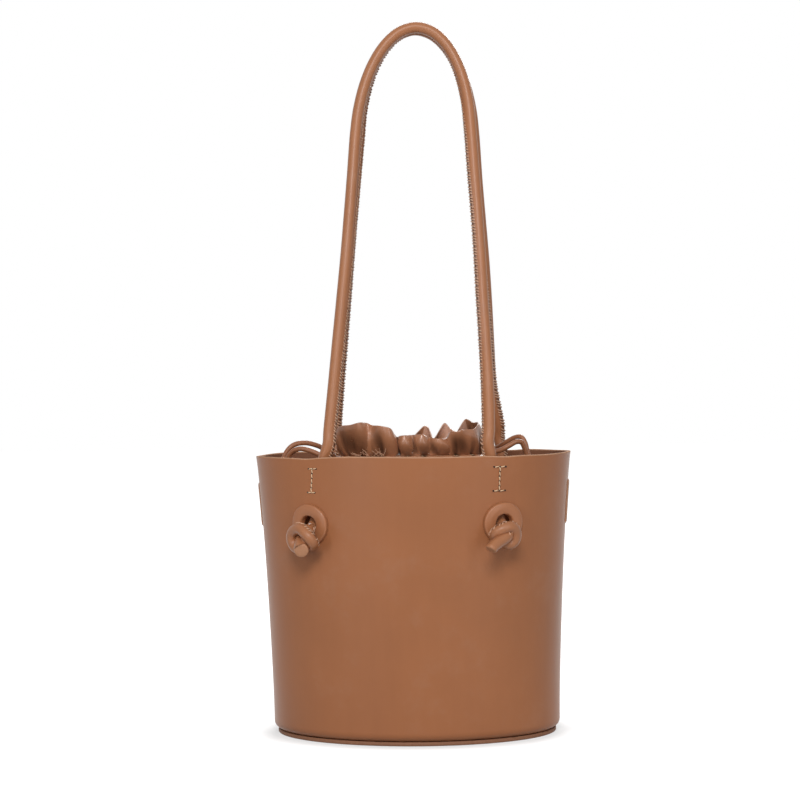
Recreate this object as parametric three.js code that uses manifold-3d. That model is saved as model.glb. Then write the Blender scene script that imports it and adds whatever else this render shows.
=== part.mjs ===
// Bucket bag: an oval leather bucket with two rolled handles tied off in overhand knots through
// leather rings, and a gathered drawstring pouch inside.
// Millimetres, +Z up, front towards -Y, origin at the middle of the sole's underside.

import * as THREE from 'three';
import { mergeVertices } from 'three/addons/utils/BufferGeometryUtils.js';
import Module from 'manifold-3d';

const wasm = await Module();
wasm.setup();

// Bucket wall and base
const baseHalfWidth = 102;
const baseHalfDepth = 68;
const rimHalfWidth = 112;
const rimHalfDepth = 75;
const rimHeight = 197;
const wallThickness = 2;
const wallEdgeRound = 0.6;
const footRadius = 4;
const footWidth = 12;
const soleThickness = 2.8;
const soleInset = 3;
const boardThickness = 2.4;
const liningThickness = 1.2;
const clearance = 0.3;
const sheetClearance = 1;
const cutOverrun = 3;

// Rolled leather handles: straight legs under a half oval top
const cordDiameter = 8;
const seamWidth = 2.2;
const seamThickness = 2;
const handleHeight = 503.5;
const frontSpreadShare = 0.511;
const rearSpreadShare = 0.55;
const capHalfWidth = 40.4;
const capRise = 83;
const archLean = 3.5;
const archGap = 0.9;
const legGap = 1;
const pivotRise = 17;
const jointGap = 0.5;

// Leather rings, and the cord ends tied in front of them
const ringSpreadShare = 0.5893;
const ringDrop = 46;
const ringRadius = 13;
const ringHoleRadius = 6;
const ringThickness = 3;
const ringEdgeRound = 1.1;
const knotCordDiameter = 6.9;
const knotTaper = 12;
const knotSpreadShare = 0.93;

// Keepers that hold the cord against the wall
const keeperDrop = 5.5;
const keeperHeight = 20;
const keeperWidth = 9;
const keeperLeather = 1.5;

// Side straps
const strapWidth = 12;
const strapThickness = 1.4;
const strapSpan = 31;
const strapTail = 14;
const strapDrop = 35;

// Drawstring pouch
const pouchHalfWidth = 89;
const pouchHalfDepth = 55;
const pouchFabric = 1.4;
const pouchFootRadius = 9;
const shoulderDrop = 42;
const neckHalfWidth = 50;
const neckHalfDepth = 25;
const neckDrop = 13;
const casingHeight = 12;
const casingFabric = 1.2;
const ruffleHeight = 22;
const ruffleFabric = 1;
const gatherEase = 1.4;
const ruffleEase = 0.8;

// Drawstrings
const stringDiameter = 3.6;
const stringSpacing = 4.6;
const stringEase = 0.27;
const exitDegrees = [22, 30, 40];
const roundDegrees = 50;
const endKnotRadius = 5.4;
const endKnotHeight = 11;
const endKnotDrop = 65;
const endKnotSetBack = 4;
const endKnotInset = 12;

// Fineness of the facets
const wallSteps = 60;
const sheetSteps = 40;
const pouchSteps = 32;
const ruffleSteps = 76;
const ringSteps = 20;
const cordSides = 10;
const stringSides = 8;
const gripSteps = 36;
const tailSteps = 42;
const bendSteps = 4;
const tailSides = 8;
const keeperSides = 10;
const keeperSteps = 2;
const runSteps = 40;
const roundStations = 14;
const strandSteps = 18;

const leather = { color: 0xa0683f, roughness: 0.5, metalness: 0 };
const cordLeather = { color: 0x9a6340, roughness: 0.42, metalness: 0 };
const satin = { color: 0x6a4028, roughness: 0.35, metalness: 0 };
const board = { color: 0x4b3626, roughness: 0.8, metalness: 0 };

const legSpread = (depth) => (depth < 0 ? frontSpreadShare : rearSpreadShare) * rimHalfWidth;
const ringSpread = ringSpreadShare * rimHalfWidth;
const cordRadius = cordDiameter / 2;
const knotRadius = knotCordDiameter / 2;
const stringRadius = stringDiameter / 2;
const footHeight = soleThickness + clearance;
const ringHeight = rimHeight - ringDrop;
const pivotHeight = rimHeight + pivotRise;
const neckHeight = rimHeight - neckDrop;
const up = new THREE.Vector3(0, 0, 1);

// Closed solid from rows of points. Each row is a closed loop; the rows close on each other when
// ringed, and otherwise end in flat caps. Faces are turned outward by the sign of the volume.
function gridSolid(rows, ringed) {
  const count = rows[0].length;
  const points = rows.flat();
  const faces = [];
  const last = ringed ? rows.length : rows.length - 1;
  for (let i = 0; i < last; i++) {
    const here = i * count;
    const next = ((i + 1) % rows.length) * count;
    for (let j = 0; j < count; j++) {
      const k = (j + 1) % count;
      faces.push([here + j, here + k, next + j], [here + k, next + k, next + j]);
    }
  }
  if (!ringed) {
    const end = (rows.length - 1) * count;
    const capOf = (row) => THREE.ShapeUtils.triangulateShape(flatten(row), []);
    for (const [a, b, c] of capOf(rows[0])) faces.push([a, c, b]);
    for (const [a, b, c] of capOf(rows[rows.length - 1])) faces.push([end + a, end + b, end + c]);
  }
  return solidOf(points, faces);
}

// A flat loop of points in two dimensions, wound so that its triangles follow the loop's order
function flatten(loop) {
  const centre = loop.reduce((sum, p) => sum.add(p), new THREE.Vector3()).divideScalar(loop.length);
  const normal = new THREE.Vector3();
  const [a, b] = [new THREE.Vector3(), new THREE.Vector3()];
  loop.forEach((p, i) => {
    const next = loop[(i + 1) % loop.length];
    normal.add(a.subVectors(p, centre).cross(b.subVectors(next, centre)));
  });
  normal.normalize();
  const across = new THREE.Vector3().subVectors(loop[0], centre);
  across.addScaledVector(normal, -across.dot(normal)).normalize();
  const along = new THREE.Vector3().crossVectors(normal, across);
  return loop.map((p) => new THREE.Vector2(a.subVectors(p, centre).dot(across), a.dot(along)));
}

function solidOf(points, faces) {
  const cross = new THREE.Vector3();
  const volume = faces.reduce((sum, [a, b, c]) => (
    sum + cross.crossVectors(points[a], points[b]).dot(points[c])), 0);
  const turned = volume < 0 ? faces.map(([a, b, c]) => [a, c, b]) : faces;
  const geometry = new THREE.BufferGeometry();
  geometry.setAttribute('position', new THREE.Float32BufferAttribute(points.flatMap((p) => p.toArray()), 3));
  geometry.setIndex(turned.flat());
  return geometry;
}

function toManifold(geometry) {
  const bare = geometry.clone();
  bare.deleteAttribute('normal');
  bare.deleteAttribute('uv');
  const merged = mergeVertices(bare);
  return new wasm.Manifold(new wasm.Mesh({
    numProp: 3,
    vertProperties: new Float32Array(merged.attributes.position.array),
    triVerts: new Uint32Array(merged.index.array),
  }));
}

function fromManifold(solid) {
  const mesh = solid.getMesh();
  const geometry = new THREE.BufferGeometry();
  geometry.setAttribute('position', new THREE.BufferAttribute(mesh.vertProperties, 3));
  geometry.setIndex(new THREE.BufferAttribute(mesh.triVerts, 1));
  return geometry;
}

function cut(body, tools) {
  return fromManifold(tools.reduce((solid, tool) => solid.subtract(toManifold(tool)), toManifold(body)));
}

function circle(radius, sides) {
  const turn = (2 * Math.PI) / sides;
  return Array.from({ length: sides }, (_, i) => [radius * Math.sin(i * turn), radius * Math.cos(i * turn)]);
}

// Tube whose section is given as [across, out] pairs at each step, with "out" along a side vector
function sweep(curve, steps, sectionAt, sideAt) {
  const rows = [];
  for (let i = 0; i <= steps; i++) {
    const centre = curve.getPointAt(i / steps);
    const tangent = curve.getTangentAt(i / steps);
    const side = sideAt(i, tangent).clone();
    side.addScaledVector(tangent, -side.dot(tangent)).normalize();
    const across = new THREE.Vector3().crossVectors(side, tangent);
    rows.push(sectionAt(i / steps).map(([s, o]) => (
      centre.clone().addScaledVector(across, s).addScaledVector(side, o))));
  }
  return gridSolid(rows, false);
}

// Round tube with its frames carried along the curve, and a radius that may change on the way
function roundTube(curve, steps, radiusAt, sides) {
  const { normals } = curve.computeFrenetFrames(steps, false);
  return sweep(curve, steps, (share) => circle(radiusAt(share), sides), (i) => normals[i]);
}

const smoothCurve = (points) => new THREE.CatmullRomCurve3(points, false, 'centripetal');
const closedCurve = (points) => new THREE.CatmullRomCurve3(points, true, 'centripetal');

// The bucket's oval: half sizes at a height, and a point on it moved out along its own normal
const ovalWidth = (z) => THREE.MathUtils.lerp(baseHalfWidth, rimHalfWidth, z / rimHeight);
const ovalDepth = (z) => THREE.MathUtils.lerp(baseHalfDepth, rimHalfDepth, z / rimHeight);

function ovalNormal(angle, halfWidth, halfDepth) {
  return new THREE.Vector3(halfDepth * Math.cos(angle), halfWidth * Math.sin(angle), 0).normalize();
}

function ovalPoint(angle, z, out, halfWidth = ovalWidth(z), halfDepth = ovalDepth(z)) {
  return new THREE.Vector3(halfWidth * Math.cos(angle), halfDepth * Math.sin(angle), z)
    .addScaledVector(ovalNormal(angle, halfWidth, halfDepth), out);
}

// A place on the wall: u runs round the oval, v runs up, and n stands out of the outer face
class WallPlace {
  constructor(angle, z) {
    this.angle = angle;
    this.z = z;
    this.pace = Math.hypot(ovalWidth(z) * Math.sin(angle), ovalDepth(z) * Math.cos(angle));
  }

  at(u, v, n) {
    return ovalPoint(this.angle + u / this.pace, this.z + v, n);
  }

  // The same axes, straight instead of bent round the wall
  straight(u, v, n) {
    const out = ovalNormal(this.angle, ovalWidth(this.z), ovalDepth(this.z));
    const along = new THREE.Vector3().crossVectors(up, out);
    return this.at(0, 0, n).addScaledVector(along, u).addScaledVector(up, v);
  }
}

// The four corners where a handle's leg is tied, and the two sides. A corner's hand says which way
// its tied end turns, and inward points towards the middle of the front or back.
const corners = [-1, 1].flatMap((depth) => [-1, 1].map((side) => ({
  name: `${depth < 0 ? 'front' : 'rear'}_${side < 0 ? 'left' : 'right'}`,
  depth,
  side,
  hand: -side * depth,
  place: new WallPlace(depth * Math.acos((side * ringSpread) / ovalWidth(ringHeight)), ringHeight),
})));
const sides = [-1, 1].map((side) => ({
  name: side < 0 ? 'left' : 'right',
  side,
  place: new WallPlace(side < 0 ? Math.PI : 0, rimHeight - strapDrop),
}));

// Block bent to the wall, between two depths along its normal
function wallBlock(place, middle, halfWide, halfTall, nLow, nHigh) {
  const shares = [[-1, -1], [0, -1], [1, -1], [1, 1], [0, 1], [-1, 1]];
  return gridSolid([nLow, nHigh].map((n) => shares.map(([s, t]) => (
    place.at(s * halfWide, middle + t * halfTall, n)))), false);
}

function bucketWall() {
  const arc = (radius, share) => [
    footRadius - radius * Math.cos((share * Math.PI) / 2),
    footHeight + footRadius - radius * Math.sin((share * Math.PI) / 2)];
  const cornerShares = [0, 0.5, 1];
  const heightShares = [0.5];
  const profile = [
    [wallEdgeRound, rimHeight], [0, rimHeight - wallEdgeRound],
    ...heightShares.map((share) => [0, share * rimHeight]),
    ...cornerShares.map((share) => arc(footRadius, share)),
    [footWidth, footHeight], [footWidth, footHeight + wallThickness],
    ...cornerShares.map((share) => arc(footRadius - wallThickness, share)).reverse(),
    ...heightShares.map((share) => [wallThickness, share * rimHeight]).reverse(),
    [wallThickness, rimHeight - wallEdgeRound], [wallThickness - wallEdgeRound, rimHeight]];
  const rows = Array.from({ length: wallSteps }, (_, i) => (
    profile.map(([inset, z]) => ovalPoint((2 * Math.PI * i) / wallSteps, z, -inset))));
  const depths = [-wallThickness - cutOverrun, cutOverrun];
  const rim = circle(ringHoleRadius, ringSteps);
  const holes = corners.map(({ place }) => (
    gridSolid(depths.map((n) => rim.map(([u, v]) => place.at(u, v, n))), false)));
  const slits = sides.flatMap(({ place }) => [1, -1].map((end) => (
    wallBlock(place, (end * strapSpan) / 2, strapWidth / 2 + clearance,
      strapThickness / 2 + clearance, ...depths))));
  return cut(gridSolid(rows, true), [...holes, ...slits]);
}

// Flat oval sheet with the bucket's outline at a height, drawn in by an inset
function ovalSheet(zLow, thickness, inset) {
  const row = (z) => Array.from({ length: sheetSteps }, (_, i) => (
    ovalPoint((2 * Math.PI * i) / sheetSteps, z, -inset, ovalWidth(zLow), ovalDepth(zLow))));
  return gridSolid([row(zLow), row(zLow + thickness)], false);
}

// Washer with rounded edges, bent to the wall
function leatherRing(place) {
  const quarterShares = [0, 1];
  const round = (r, n, start) => quarterShares.map((share) => [
    r + ringEdgeRound * Math.cos(start + (share * Math.PI) / 2),
    n + ringEdgeRound * Math.sin(start + (share * Math.PI) / 2)]);
  const crest = clearance + ringThickness - ringEdgeRound;
  const section = [[ringHoleRadius, clearance], [ringRadius, clearance],
    ...round(ringRadius - ringEdgeRound, crest, 0),
    ...round(ringHoleRadius + ringEdgeRound, crest, Math.PI / 2)];
  const rows = circle(1, ringSteps).map(([s, c]) => section.map(([r, n]) => place.at(r * s, r * c, n)));
  return gridSolid(rows, true);
}

// Strap that lies on the wall and dives through a slit at each end, with sewn tails inside
function sideStrap(place) {
  const outside = clearance + strapThickness / 2;
  const inside = -wallThickness - outside;
  const bend = strapSpan / 2;
  const band = (d) => [[inside + d, bend + strapTail], [inside + d, bend + d], [outside + d, bend + d],
    [outside + d, -bend - d], [inside + d, -bend - d], [inside + d, -bend - strapTail]];
  const outline = [...band(strapThickness / 2), ...band(-strapThickness / 2).reverse()];
  const widthShares = [-1, -0.5, 0, 0.5, 1];
  return gridSolid(widthShares.map((share) => outline.map(([n, v]) => (
    place.at((share * strapWidth) / 2, v, n)))), false);
}

// Handle legs. The root is the leg's centre at rim height, against the wall's inner face; the top
// is the middle of the arch, where the two handles lean on each other.
const legDepth = wallThickness + legGap + cordRadius;

function legRoot(depth, side) {
  const angle = depth * Math.acos((side * legSpread(depth)) / rimHalfWidth);
  return ovalPoint(angle, rimHeight, -legDepth);
}

// A point of the leaning handle plane, by height and by distance from the plane's middle
function handlePoint(depth, across, z) {
  const root = legRoot(depth, 1);
  const apex = handleHeight - cordRadius;
  const share = (z - rimHeight) / (apex - rimHeight);
  const y = THREE.MathUtils.lerp(root.y, depth * (cordRadius + archGap / 2), share);
  return new THREE.Vector3(across + share * archLean, y, z);
}

// Half width of the handle at pivot height, where its straight legs start
const pivotHalfWidth = (depth) => legRoot(depth, 1).x;

function handleArch(depth) {
  const apex = handleHeight - cordRadius;
  const capFoot = apex - capRise;
  const legShares = [0, 0.3, 0.6, 0.85];
  const capShares = [0.15, 0.32, 0.5, 0.66, 0.82, 1];
  const start = pivotHeight + jointGap / 2;
  const leg = legShares.map((share) => [
    THREE.MathUtils.lerp(pivotHalfWidth(depth), capHalfWidth, share),
    THREE.MathUtils.lerp(start, capFoot, share)]);
  const cap = capShares.map((share) => [
    capHalfWidth * Math.cos((share * Math.PI) / 2), capFoot + capRise * Math.sin((share * Math.PI) / 2)]);
  const half = [...leg, ...cap];
  const other = half.slice(0, -1).reverse().map(([x, z]) => [-x, z]);
  const curve = smoothCurve([...half, ...other].map(([x, z]) => handlePoint(depth, x, z)));
  const rise = handlePoint(depth, 0, apex).sub(handlePoint(depth, 0, start));
  const plane = rise.setX(0).normalize().cross(new THREE.Vector3(1, 0, 0));
  return sweep(curve, gripSteps, seamedSection, (_, tangent) => plane.clone().cross(tangent).negate());
}

// Round cord with a stitched seam standing out along one side
function seamedSection() {
  const half = seamThickness / 2;
  const root = Math.asin(half / cordRadius);
  const round = Array.from({ length: cordSides }, (_, i) => {
    const angle = THREE.MathUtils.lerp(root, 2 * Math.PI - root, i / (cordSides - 1));
    return [cordRadius * Math.sin(angle), cordRadius * Math.cos(angle)];
  });
  return [...round, [-half, cordRadius + seamWidth], [half, cordRadius + seamWidth]];
}

// Inner run of a leg: down the wall behind its keeper and out through the ring
const keeperMiddle = rimHeight - keeperDrop - keeperHeight / 2 - ringHeight;
const keeperReach = wallThickness + 2 * clearance + keeperLeather + cordRadius;
const bendFoot = rimHeight - keeperDrop + sheetClearance;

// A point of the leaning leg line inside the wall: v above the ring's middle, n out of the wall
function legLine({ place, hand, depth }, v, n, aside = 0) {
  const lean = (ringSpread - legSpread(depth)) / (rimHeight - ringHeight);
  return place.at(aside - hand * lean * v, v, n);
}

function tailCurve(corner) {
  const { place, hand } = corner;
  const half = keeperHeight / 2;
  const straightShare = 1.3;
  const elbowShares = [[0.62, -0.98], [0.2, -0.72], [0, -0.2], [0, 0.45]];
  const heights = [bendFoot - ringHeight, keeperMiddle + half, keeperMiddle, keeperMiddle - half,
    straightShare * cordDiameter];
  const run = heights.map((v) => legLine(corner, v, -keeperReach));
  const turn = elbowShares.map(([v, n]) => place.straight(0, v * cordDiameter, n * cordDiameter));
  const face = clearance + ringThickness;
  const pitch = knotCordDiameter * knotSpreadShare;
  const knot = knotShares(corner).map(([u, v, n]) => (
    place.straight(hand * u * pitch, v * pitch, face + n * pitch)));
  return smoothCurve([...run, ...turn, ...knot]);
}

// Overhand knot, in cord diameters from the middle of the ring's face: across, up and out. The cord
// drops from the ring, runs round to the front over its own start, goes behind itself and comes
// out through the loop. Front left shows its cut end face on; the others point it down and aside.
function knotShares({ depth, side }) {
  const loop = [[-0.04, -0.1, 0.86], [-0.42, -0.7, 1.54], [-0.62, -1.51, 1.78], [-0.36, -2.4, 1.66],
    [0.62, -2.9, 1.42], [1.66, -2.34, 1.56], [1.86, -1.1, 1.98], [1.08, -0.1, 2.56], [-0.23, 0.16, 2.8],
    [-1.42, -0.37, 2.36], [-1.86, -1.25, 1.46], [-1.38, -1.76, 0.72], [-0.36, -1.66, 0.52]];
  const aside = [[0.36, -1.5, 0.72], [0.74, -1.38, 1.36], [0.5, -1.62, 2.3], [-0.2, -2.1, 2.95],
    [-0.9, -2.6, 3.25]];
  const faceOn = [[0.36, -1.5, 0.72], [0.74, -1.38, 1.36], [0.62, -1.5, 2.2], [0.4, -1.75, 2.9],
    [0.2, -1.95, 3.4]];
  return [...loop, ...(depth < 0 && side < 0 ? faceOn : aside)];
}

function tailSolid(corner) {
  const curve = tailCurve(corner);
  const length = curve.getLength();
  const throughRing = nearestShare(curve, corner.place.straight(0, 0, 0)) * length;
  const radiusAt = (share) => THREE.MathUtils.lerp(cordRadius, knotRadius,
    THREE.MathUtils.smoothstep(share * length - throughRing, 0, knotTaper));
  reportLeastGap(corner.name, curve, throughRing / length);
  return roundTube(curve, tailSteps, radiusAt, tailSides);
}

function nearestShare(curve, point) {
  const shares = Array.from({ length: tailSteps + 1 }, (_, i) => i / tailSteps);
  return shares.reduce((best, share) => (
    curve.getPointAt(share).distanceTo(point) < curve.getPointAt(best).distanceTo(point) ? share : best));
}

// Prints the least gap between a knot's turns, measured between points of its middle line
function reportLeastGap(name, curve, start) {
  const length = curve.getLength();
  const shares = Array.from({ length: 2 * tailSteps }, (_, i) => (
    THREE.MathUtils.lerp(start, 1, i / (2 * tailSteps - 1))));
  const points = shares.map((share) => curve.getPointAt(share));
  let least = Infinity;
  points.forEach((p, i) => points.forEach((q, j) => {
    if ((shares[j] - shares[i]) * length > 2 * knotCordDiameter) least = Math.min(least, p.distanceTo(q));
  }));
  console.log(`${name} knot: least gap between turns ${(least - knotCordDiameter).toFixed(2)} mm`);
}

// Short stretch at the rim that bends when the handle swings
function bendSolid(corner) {
  const { depth, side } = corner;
  const low = (rise) => legLine(corner, bendFoot - ringHeight + rise, -keeperReach);
  const top = pivotHeight - jointGap / 2;
  const curve = smoothCurve([low(jointGap), low(jointGap + cordRadius),
    handlePoint(depth, side * pivotHalfWidth(depth), top - cordDiameter),
    handlePoint(depth, side * pivotHalfWidth(depth), top)]);
  return roundTube(curve, bendSteps, () => cordRadius, cordSides);
}

// Leather loop round the cord, with a foot that is sewn to the wall
function keeperSolid(corner) {
  const half = keeperHeight / 2;
  const line = (reach) => smoothCurve([1, 0, -1].map((end) => (
    legLine(corner, keeperMiddle + end * (half + reach), -keeperReach))));
  const round = (reach, radius) => (
    toManifold(roundTube(line(reach), keeperSteps, () => radius, keeperSides)));
  const sleeve = round(0, cordRadius + clearance + keeperLeather);
  const bore = round(cutOverrun, cordRadius + clearance);
  const cornerShares = [[-1, -1], [1, -1], [1, 1], [-1, 1]];
  const foot = [-keeperReach, -wallThickness - clearance].map((n) => cornerShares.map(([s, t]) => (
    legLine(corner, keeperMiddle + t * half, n, (s * keeperWidth) / 2))));
  return fromManifold(sleeve.add(toManifold(gridSolid(foot, false))).subtract(bore));
}

// Pouch: the fabric bag, the casing round its neck, and the gathered edge above
const boardFloor = footHeight + wallThickness + clearance;
const liningFloor = boardFloor + boardThickness + clearance;
const pouchFloor = liningFloor + liningThickness + clearance;
const casingTop = neckHeight + casingHeight;
const stringOut = clearance + stringRadius + clearance;
const casingReach = stringOut + stringRadius + clearance + casingFabric;

function pouchBag() {
  const shoulderShare = 0.97;
  const footShares = [[0.88, 0.84], [0.96, 0.95]];
  const gatherShares = [0.35, 0.7, 1];
  const shoulder = rimHeight - shoulderDrop;
  const stations = [[pouchFloor, ...footShares[0]], [pouchFloor + pouchFootRadius, ...footShares[1]],
    [rimHeight / 2, 1, 1], [shoulder, shoulderShare, shoulderShare]]
    .map(([z, w, d]) => [z, w * pouchHalfWidth, d * pouchHalfDepth]);
  const gather = gatherShares.map((share) => [
    THREE.MathUtils.lerp(shoulder, neckHeight, share),
    THREE.MathUtils.lerp(shoulderShare * pouchHalfWidth, neckHalfWidth, share ** gatherEase),
    THREE.MathUtils.lerp(shoulderShare * pouchHalfDepth, neckHalfDepth, share ** gatherEase)]);
  const outer = [...stations, ...gather, [casingTop, neckHalfWidth, neckHalfDepth]];
  const inner = outer.slice(1).reverse();
  const row = (z, w, d, out) => Array.from({ length: pouchSteps }, (_, i) => (
    ovalPoint((2 * Math.PI * i) / pouchSteps, z, out, w, d)));
  const floor = [pouchFloor + pouchFabric, stations[0][1], stations[0][2]];
  return gridSolid([...outer.map(([z, w, d]) => row(z, w, d, 0)),
    ...inner.map(([z, w, d]) => row(Math.max(z, pouchFloor + 2 * pouchFabric), w, d, -pouchFabric)),
    row(...floor, -pouchFabric)], false);
}

// Sheath sewn round the neck: a top band and a skirt, open below, that the drawstrings run in
function pouchCasing() {
  const section = [[clearance, casingTop], [casingReach, casingTop], [casingReach, neckHeight],
    [casingReach - casingFabric, neckHeight], [casingReach - casingFabric, casingTop - casingFabric],
    [clearance, casingTop - casingFabric]];
  const rows = Array.from({ length: pouchSteps }, (_, i) => section.map(([out, z]) => (
    ovalPoint((2 * Math.PI * i) / pouchSteps, z, out, neckHalfWidth, neckHalfDepth))));
  const exits = sides.map(({ side }) => (
    roundTube(runCurve(side), runSteps, () => stringRadius + stringEase, stringSides)));
  return cut(gridSolid(rows, true), exits);
}

// Gathered edge above the casing. Its top line was set by hand, from the left end over the front to
// the right end and back: shares of a full turn at the foot, of the neck's half width and half
// depth at the top, and of the rise. The front has a tall left lobe, a low middle and a right lobe
// that folds over, and two pleats stand up at the rear.
const ruffleShares = [
  [0.517, -1.02, -0.12, 0.44], [0.547, -1.1, -0.44, 0.74], [0.581, -1.01, -0.84, 0.93],
  [0.611, -0.85, -1.16, 0.99], [0.636, -0.67, -1.24, 1.09], [0.656, -0.56, -1.02, 1],
  [0.683, -0.4, -1.3, 0.99], [0.708, -0.24, -1.24, 0.83], [0.723, -0.18, -0.94, 0.58],
  [0.739, -0.08, -1.16, 0.65], [0.756, 0.03, -1.02, 0.65], [0.775, 0.16, -1.18, 0.64],
  [0.793, 0.27, -1.02, 0.58], [0.814, 0.4, -1.16, 0.54], [0.836, 0.51, -0.88, 0.5],
  [0.856, 0.61, -1.08, 0.73], [0.889, 0.77, -1.12, 0.78], [0.922, 0.9, -0.86, 0.83],
  [0.953, 0.95, -0.5, 0.92], [0.989, 0.94, -0.08, 1], [1.028, 0.9, 0.28, 1],
  [1.072, 0.75, 0.46, 1.06], [1.111, 0.64, 0.6, 0.7], [1.142, 0.58, 0.9, 0.68],
  [1.178, 0.43, 1.06, 0.94], [1.2, 0.3, 0.84, 0.5], [1.219, 0.21, 1.06, 0.8],
  [1.236, 0.12, 1.1, 0.88], [1.258, -0.03, 0.86, 0.5], [1.286, -0.18, 1.06, 0.48],
  [1.314, -0.34, 0.94, 0.46], [1.344, -0.52, 1.06, 0.45], [1.378, -0.7, 0.84, 0.43],
  [1.417, -0.88, 0.7, 0.4], [1.464, -0.99, 0.3, 0.4],
];

function pouchRuffle() {
  const foot = casingTop + clearance;
  const riseShares = [0, 0.3, 0.65, 1];
  const footLine = closedCurve(ruffleShares.map(([turn]) => (
    ovalPoint(2 * Math.PI * turn, foot, 0, neckHalfWidth, neckHalfDepth))));
  const topLine = closedCurve(ruffleShares.map(([, across, aside, rise]) => (
    new THREE.Vector3(across * neckHalfWidth, aside * neckHalfDepth, foot + rise * ruffleHeight))));
  const point = (turn, rise) => {
    const [low, high] = [footLine, topLine].map((line) => line.getPoint((turn + 1) % 1));
    return low.clone().lerp(high, rise ** ruffleEase).setZ(THREE.MathUtils.lerp(foot, high.z, rise));
  };
  const out = (turn, rise) => {
    const [before, after] = [-1, 1].map((way) => point(turn + way / (2 * ruffleSteps), rise));
    return after.sub(before).setZ(0).normalize().cross(up);
  };
  const rows = Array.from({ length: ruffleSteps }, (_, i) => {
    const turn = i / ruffleSteps;
    const outer = riseShares.map((rise) => point(turn, rise));
    const inner = riseShares.map((rise) => point(turn, rise).addScaledVector(out(turn, rise), -ruffleFabric));
    return [...outer, ...inner.reverse()];
  });
  return gridSolid(rows, true);
}

// Drawstring inside the casing: once round the neck and out at its own side through the skirt
function runCurve(side) {
  const base = side < 0 ? Math.PI : 0;
  const z = neckHeight + stringRadius + clearance + (side > 0 ? stringSpacing : 0);
  const exitOuts = [casingReach + stringRadius, stringOut + stringRadius, stringOut + clearance];
  const exit = exitDegrees.map((degrees, i) => [degrees, exitOuts[i]]);
  const round = Array.from({ length: roundStations }, (_, i) => [
    THREE.MathUtils.lerp(roundDegrees, 360 - roundDegrees, i / (roundStations - 1)), stringOut]);
  const stations = [...exit, ...round, ...exit.map(([degrees, out]) => [360 - degrees, out]).reverse()];
  return smoothCurve(stations.map(([degrees, out]) => (
    ovalPoint(base + THREE.MathUtils.degToRad(degrees), z, out, neckHalfWidth, neckHalfDepth))));
}

// Free stretch of a drawstring: from the casing it arches over the gap and hangs down inside the
// wall into its end knot. Each point was chosen by hand as three shares: out from the neck to the
// knot, to the front or the rear of the neck's half depth, and up from the knot to the rim.
const endKnotTop = rimHeight - endKnotDrop;
const endKnotSpread = ovalWidth(endKnotTop) - endKnotInset;
const strandShares = {
  left_front: [
    [0.16, -0.636, 0.932], [0.288, -0.648, 0.994], [0.449, -0.624, 1.046], [0.609, -0.568, 1.071],
    [0.739, -0.496, 1.04], [0.825, -0.424, 0.954], [0.876, -0.368, 0.831], [0.915, -0.32, 0.677],
    [0.947, -0.288, 0.508], [0.968, -0.264, 0.323], [0.979, -0.24, 0.138],
  ],
  left_rear: [
    [0.154, 0.576, 0.948], [0.269, 0.456, 1.028], [0.427, 0.304, 1.095], [0.607, 0.144, 1.126],
    [0.769, 0, 1.102], [0.876, -0.08, 1.015], [0.936, -0.104, 0.877], [0.97, -0.104, 0.708],
    [0.991, -0.096, 0.523], [1.004, -0.088, 0.323], [1.009, -0.072, 0.138],
  ],
  right_front: [
    [0.16, -0.636, 1], [0.289, -0.648, 1.031], [0.418, -0.624, 1.077], [0.525, -0.584, 1.117],
    [0.6, -0.52, 1.111], [0.647, -0.464, 1.043], [0.685, -0.424, 0.954], [0.749, -0.368, 0.825],
    [0.822, -0.32, 0.677], [0.887, -0.288, 0.508], [0.938, -0.264, 0.323], [0.972, -0.24, 0.138],
  ],
  right_rear: [
    [0.154, 0.576, 1.012], [0.257, 0.456, 1.058], [0.375, 0.304, 1.111], [0.493, 0.16, 1.154],
    [0.587, 0.032, 1.16], [0.647, -0.032, 1.098], [0.681, -0.072, 1], [0.745, -0.096, 0.862],
    [0.822, -0.104, 0.708], [0.891, -0.096, 0.523], [0.951, -0.088, 0.323], [0.994, -0.072, 0.138],
  ],
};

function strandSolid(side, depth) {
  const name = `${side < 0 ? 'left' : 'right'}_${depth < 0 ? 'front' : 'rear'}`;
  const run = runCurve(side);
  const atStart = Math.sign(run.getPointAt(0).y) === depth;
  const end = run.getPointAt(atStart ? 0 : 1);
  const heading = run.getTangentAt(atStart ? 0 : 1).multiplyScalar(atStart ? -1 : 1);
  const foot = new THREE.Vector3(side * endKnotSpread,
    depth * (stringRadius + clearance) - endKnotSetBack, endKnotTop);
  const route = strandShares[name].map(([out, aside, rise]) => new THREE.Vector3(
    side * THREE.MathUtils.lerp(neckHalfWidth, endKnotSpread, out), aside * neckHalfDepth,
    THREE.MathUtils.lerp(endKnotTop, rimHeight, rise)));
  const start = [clearance, stringRadius].map((reach) => end.clone().addScaledVector(heading, reach));
  const last = [clearance + stringRadius, clearance].map((reach) => foot.clone().addScaledVector(up, reach));
  const points = [...start, ...route, ...last];
  return roundTube(smoothCurve(points), strandSteps, () => stringRadius, stringSides);
}

// The two strands of a side are tied together: a rounded knot with a flat top where they enter
function endKnot(side) {
  const neck = 2 * stringRadius + clearance;
  const waistShares = [0.5, 0.82, 1, 0.94, 0.66];
  const profile = [new THREE.Vector2(0, -endKnotHeight),
    ...waistShares.map((share, i) => new THREE.Vector2(share * endKnotRadius,
      -endKnotHeight * (1 - i / waistShares.length))),
    new THREE.Vector2(neck, 0), new THREE.Vector2(0, 0)];
  const lathe = new THREE.LatheGeometry(profile, 2 * stringSides);
  lathe.rotateX(Math.PI / 2);
  const points = toManifold(lathe);
  return { geometry: fromManifold(points), position: [side * endKnotSpread, -endKnotSetBack, endKnotTop] };
}

// Assembly

const bag = new THREE.Group();

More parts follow.
